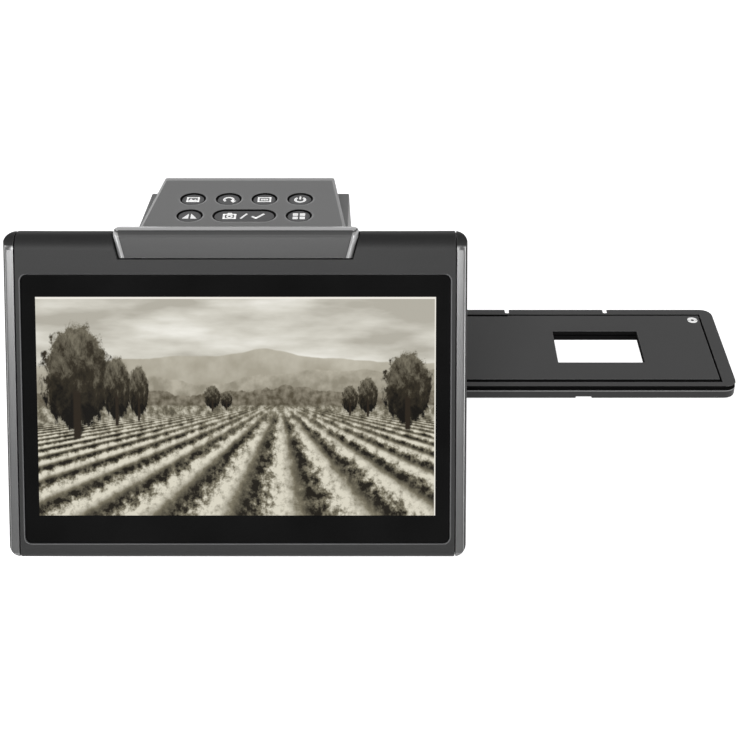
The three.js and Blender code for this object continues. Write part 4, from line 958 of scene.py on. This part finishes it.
# Screws: pan heads with a cross recess, and ridged shanks
def screw(head_radius, head_height, shank_radius, length):
    """Screw standing on its head at the origin."""
    pitch, ridge, point = 0.8, 0.22, 0.3
    profile = [(head_radius - 0.5, 0.0), (head_radius - 0.15, 0.12), (head_radius, 0.45),
               (head_radius, head_height), (shank_radius, head_height)]
    height = head_height + 0.6
    while height < length - 0.9:
        profile += [(shank_radius, height), (shank_radius - ridge, height + pitch / 2)]
        height += pitch
    profile.append((point, length))
    made = loft("screw", [pill(0, 0, 0, r, z, 11) for r, z in profile])
    slot_long, slot_wide = 1.35, 0.38
    tools = []
    for x, y in ((slot_long, slot_wide), (slot_wide, slot_long)):
        corners = ((-x, -y), (x, -y), (x, y), (-x, y))
        rings = [[(px * taper, py * taper, z) for px, py in corners]
                 for taper, z in ((1.1, -0.1), (0.7, 1.1))]
        tools.append(loft("recess", rings))
    return carved(made, tools)


base_screw = screw(2.5, 2.0, 1.3, 18.0)
base_screws = in_rows("case_screws", base_screw, steel, (-38.0, 89.4, 43.3), 2, (76.0, 0, 0))
smooth(base_screws, 0)
dress(base_screws, "base", ["base_screw_1", "base_screw_2"])
back_screw = screw(2.5, 1.7, 1.3, 7.0)
back_screw.data.transform(Matrix.Rotation(math.radians(90), 4, "X"))
back_screws = in_rows(
    "back_screws", back_screw, steel, (-80.2, 7.2, -114.7), 2, (160.4, 0, 0), 2, (0, 0, 111.2))
back_screws.data.transform(display_place)
smooth(back_screws, 0)
dress(back_screws, "display", [f"display_screw_{number}" for number in (1, 2, 3, 4)])


# Sockets: drawn steel shells, open at the rear, with a tongue and gold contacts inside
def usb_outline(inset):
    radius = 1.65 - inset
    return arc(-19.15, 17.25, radius, -90, 90, 10) + arc(-24.85, 17.25, radius, 90, 270, 10)


def hdmi_outline(inset):
    return rounded(-12.6 + inset, -1.4 - inset, 15.6 + inset, 19.2 - inset, 1.4, 5, 0.5)


def card_outline(inset):
    return rounded(1.0 + inset, 27.0 - inset, 15.6 + inset, 18.6 - inset, 0.4, 3)


def socket(node, name, outline, near, tongue, contact, first, columns, step, rows=1, rise=0.0):
    """Shell with its tongue and rows of contacts; contact is one's half width, length and height."""
    sheet, back = 0.3, 0.6    # thickness of the walls and of the closed end
    shell = prism(name, outline(0.0), near, PORT_REAR, 1)
    carved(shell, [prism("inner", outline(sheet), near + back, PORT_REAR + 1, 1)])
    shell.data.materials.append(steel)
    bar_inside = slab("tongue", *tongue)
    bar_inside.data.materials.append(inner_ps)
    half, length, thick = contact
    blade = slab("blade", -half, half, 0.0, length, 0.0, thick)
    blades = in_rows("contacts", blade, gold, first, columns, (step, 0, 0), rows, (0, 0, rise))
    bpy.data.objects.remove(blade)
    smooth(joined(shell, [bar_inside, blades]), 0.04, 40.0, 1)
    dress(shell, "base", [node])


socket("usb_c_socket", "usb_c_shell", usb_outline, 83.5, (-25.3, -18.7, 84.0, 90.8, 16.9, 17.6),
       (0.13, 3.6, 0.05), (-24.75, 87.0, 16.87), 12, 0.5, 2, 0.72)
socket("hdmi_socket", "hdmi_shell", hdmi_outline, 83.5, (-11.2, -2.8, 84.0, 90.4, 17.5, 18.1),
       (0.2, 4.0, 0.05), (-10.6, 86.2, 17.46), 10, 0.8)
socket("sd_card_socket", "card_slot", card_outline, 65.5, (2.2, 25.8, 66.0, 74.0, 16.0, 16.6),
       (0.6, 7.0, 0.12), (3.8, 71.0, 16.6), 9, 2.5)

# Main board: rows of chip resistors, each a dark block with two tinned ends
chip_body = slab("chip_body", -0.5, 0.5, -0.4, 0.4, 0.0, 0.45)
chip_ends = joined(slab("chip_ends", -0.8, -0.5, -0.4, 0.4, 0.0, 0.47),
                   [slab("end", 0.5, 0.8, -0.4, 0.4, 0.0, 0.47)])
spread = {"Shift": (0.5, 0.7, 0.0), "Missing": 0.25, "Seed": 7}
resistors = [
    in_rows("resistors", shape, finish, (-26.0, 32.0, 15.6), 12, (4.6, 0, 0), 3, (0, 3.4, 0), **spread)
    for shape, finish in ((chip_body, inner_ps), (chip_ends, steel))]
joined(resistors[0], resistors[1:])
resistors[0].name = "board_resistors"
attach(resistors[0], "base")
for model in (rib, base_screw, back_screw, chip_body, chip_ends):
    bpy.data.objects.remove(model)


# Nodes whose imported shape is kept
kept = {
    rubber: ["key_mat"],
    steel: ["hinge_pin", "hinge_bracket_left", "hinge_bracket_right", "detent_spring"],
    board: ["button_board", "sensor_board", "lamp_board", "main_board", "display_board"],
    inner_ps: ["processor_chip", "memory_chip", "image_sensor", "lens_barrel", "camera_housing",
               "tray_guide", "film_gate", "screen_panel"],
    opal: ["light_box", "diffuser"],
    lens: ["lens_glass"],
}
for material, names in kept.items():
    for name in names:
        slots = cad_nodes[name].data.materials
        slots.clear()
        slots.append(material)


# Floor, lamps and camera
def stage_floor():
    material, tree, place, surface = blank("matt_white_paper")
    fibres = add(tree, "TexNoise", {"Vector": place, "Scale": 400.0, "Detail": 3.0})
    shade = add(tree, "ValToRGB", {"Fac": fibres}, stops=[(0.2, "#f1f1f1"), (0.8, "#f6f6f6")])
    glow = add(tree, "Math", {0: looked_at(tree), 1: FLOOR_GLOW}, operation="MULTIPLY")
    feed(surface, {
        "Base Color": shade, "Roughness": 0.9, "Specular IOR Level": 0.0,
        "Emission Color": (1, 1, 1, 1), "Emission Strength": glow})
    made = bmesh.new()
    reach = FLOOR_REACH
    corners = ((-reach, -reach), (reach, -reach), (reach, reach), (-reach, reach))
    made.faces.new([made.verts.new((x, y, -FLOOR_DROP * MM)) for x, y in corners])
    floor = mesh_object("floor", made)
    floor.data.materials.append(material)


stage_floor()


def studio_world():
    """White walls that darken towards the ceiling and, behind the camera, towards the room. Surfaces
    are lit by them at the ambient strength; the camera, reflections and clear parts see them full."""
    world = bpy.data.worlds.new("studio")
    scene.world = world
    world.use_nodes = True
    tree = world.node_tree
    tree.nodes.clear()
    direction = add(tree, "TexCoord").outputs["Generated"]
    parts = add(tree, "SeparateXYZ", {"Vector": direction})
    wall, front = [
        add(tree, "MapRange", {"Value": parts.outputs[axis], "From Min": start, "From Max": end,
                               "To Min": 1.0, "To Max": dark}, interpolation_type="SMOOTHSTEP")
        for axis, start, end, dark in (("Z", 0.2, 0.8, CEILING), ("Y", -0.2, -0.8, FRONT_WALL))]
    room = add(tree, "Math", {0: wall, 1: front}, operation="MULTIPLY")
    share = add(tree, "MapRange", {"Value": looked_at(tree), "To Min": AMBIENT})
    strength = add(tree, "Math", {0: room, 1: share}, operation="MULTIPLY")
    sky = add(tree, "Background", {"Color": (1, 1, 1, 1), "Strength": strength})
    add(tree, "OutputWorld", {"Surface": sky})


studio_world()


def lamp(name, place, target, width, height, power):
    data = bpy.data.lights.new(name, "AREA")
    data.shape = "RECTANGLE"
    data.size = width
    data.size_y = height
    data.energy = power
    obj = bpy.data.objects.new(name, data)
    obj.location = place
    obj.rotation_euler = (Vector(target) - Vector(place)).to_track_quat("-Z", "Y").to_euler()
    scene.collection.objects.link(obj)


lamp("softbox_front", (-0.2, -1.22, 1.08), (0.04, 0.0, 0.1), 0.75, 0.45, 14.4)
lamp("strip_left", (-1.08, -0.2, 0.26), (0.0, 0.0, 0.13), 0.6, 0.5, 4.4)
lamp("strip_right", (0.99, -0.66, 0.46), (0.04, 0.0, 0.12), 0.3, 0.5, 4.2)

camera = bpy.data.objects.new("camera", bpy.data.cameras.new("camera"))
camera.location = (0.051, -0.502, 0.418)
camera.rotation_euler = Euler((math.radians(90 - LOOKING_DOWN), 0, 0))
camera.data.sensor_width = SENSOR
camera.data.lens = FOCAL_PIXELS / FRAME_PIXELS * SENSOR
camera.data.clip_start = 0.01
camera.data.clip_end = 50.0
scene.collection.objects.link(camera)
scene.camera = camera
scene.view_settings.view_transform = "Standard"
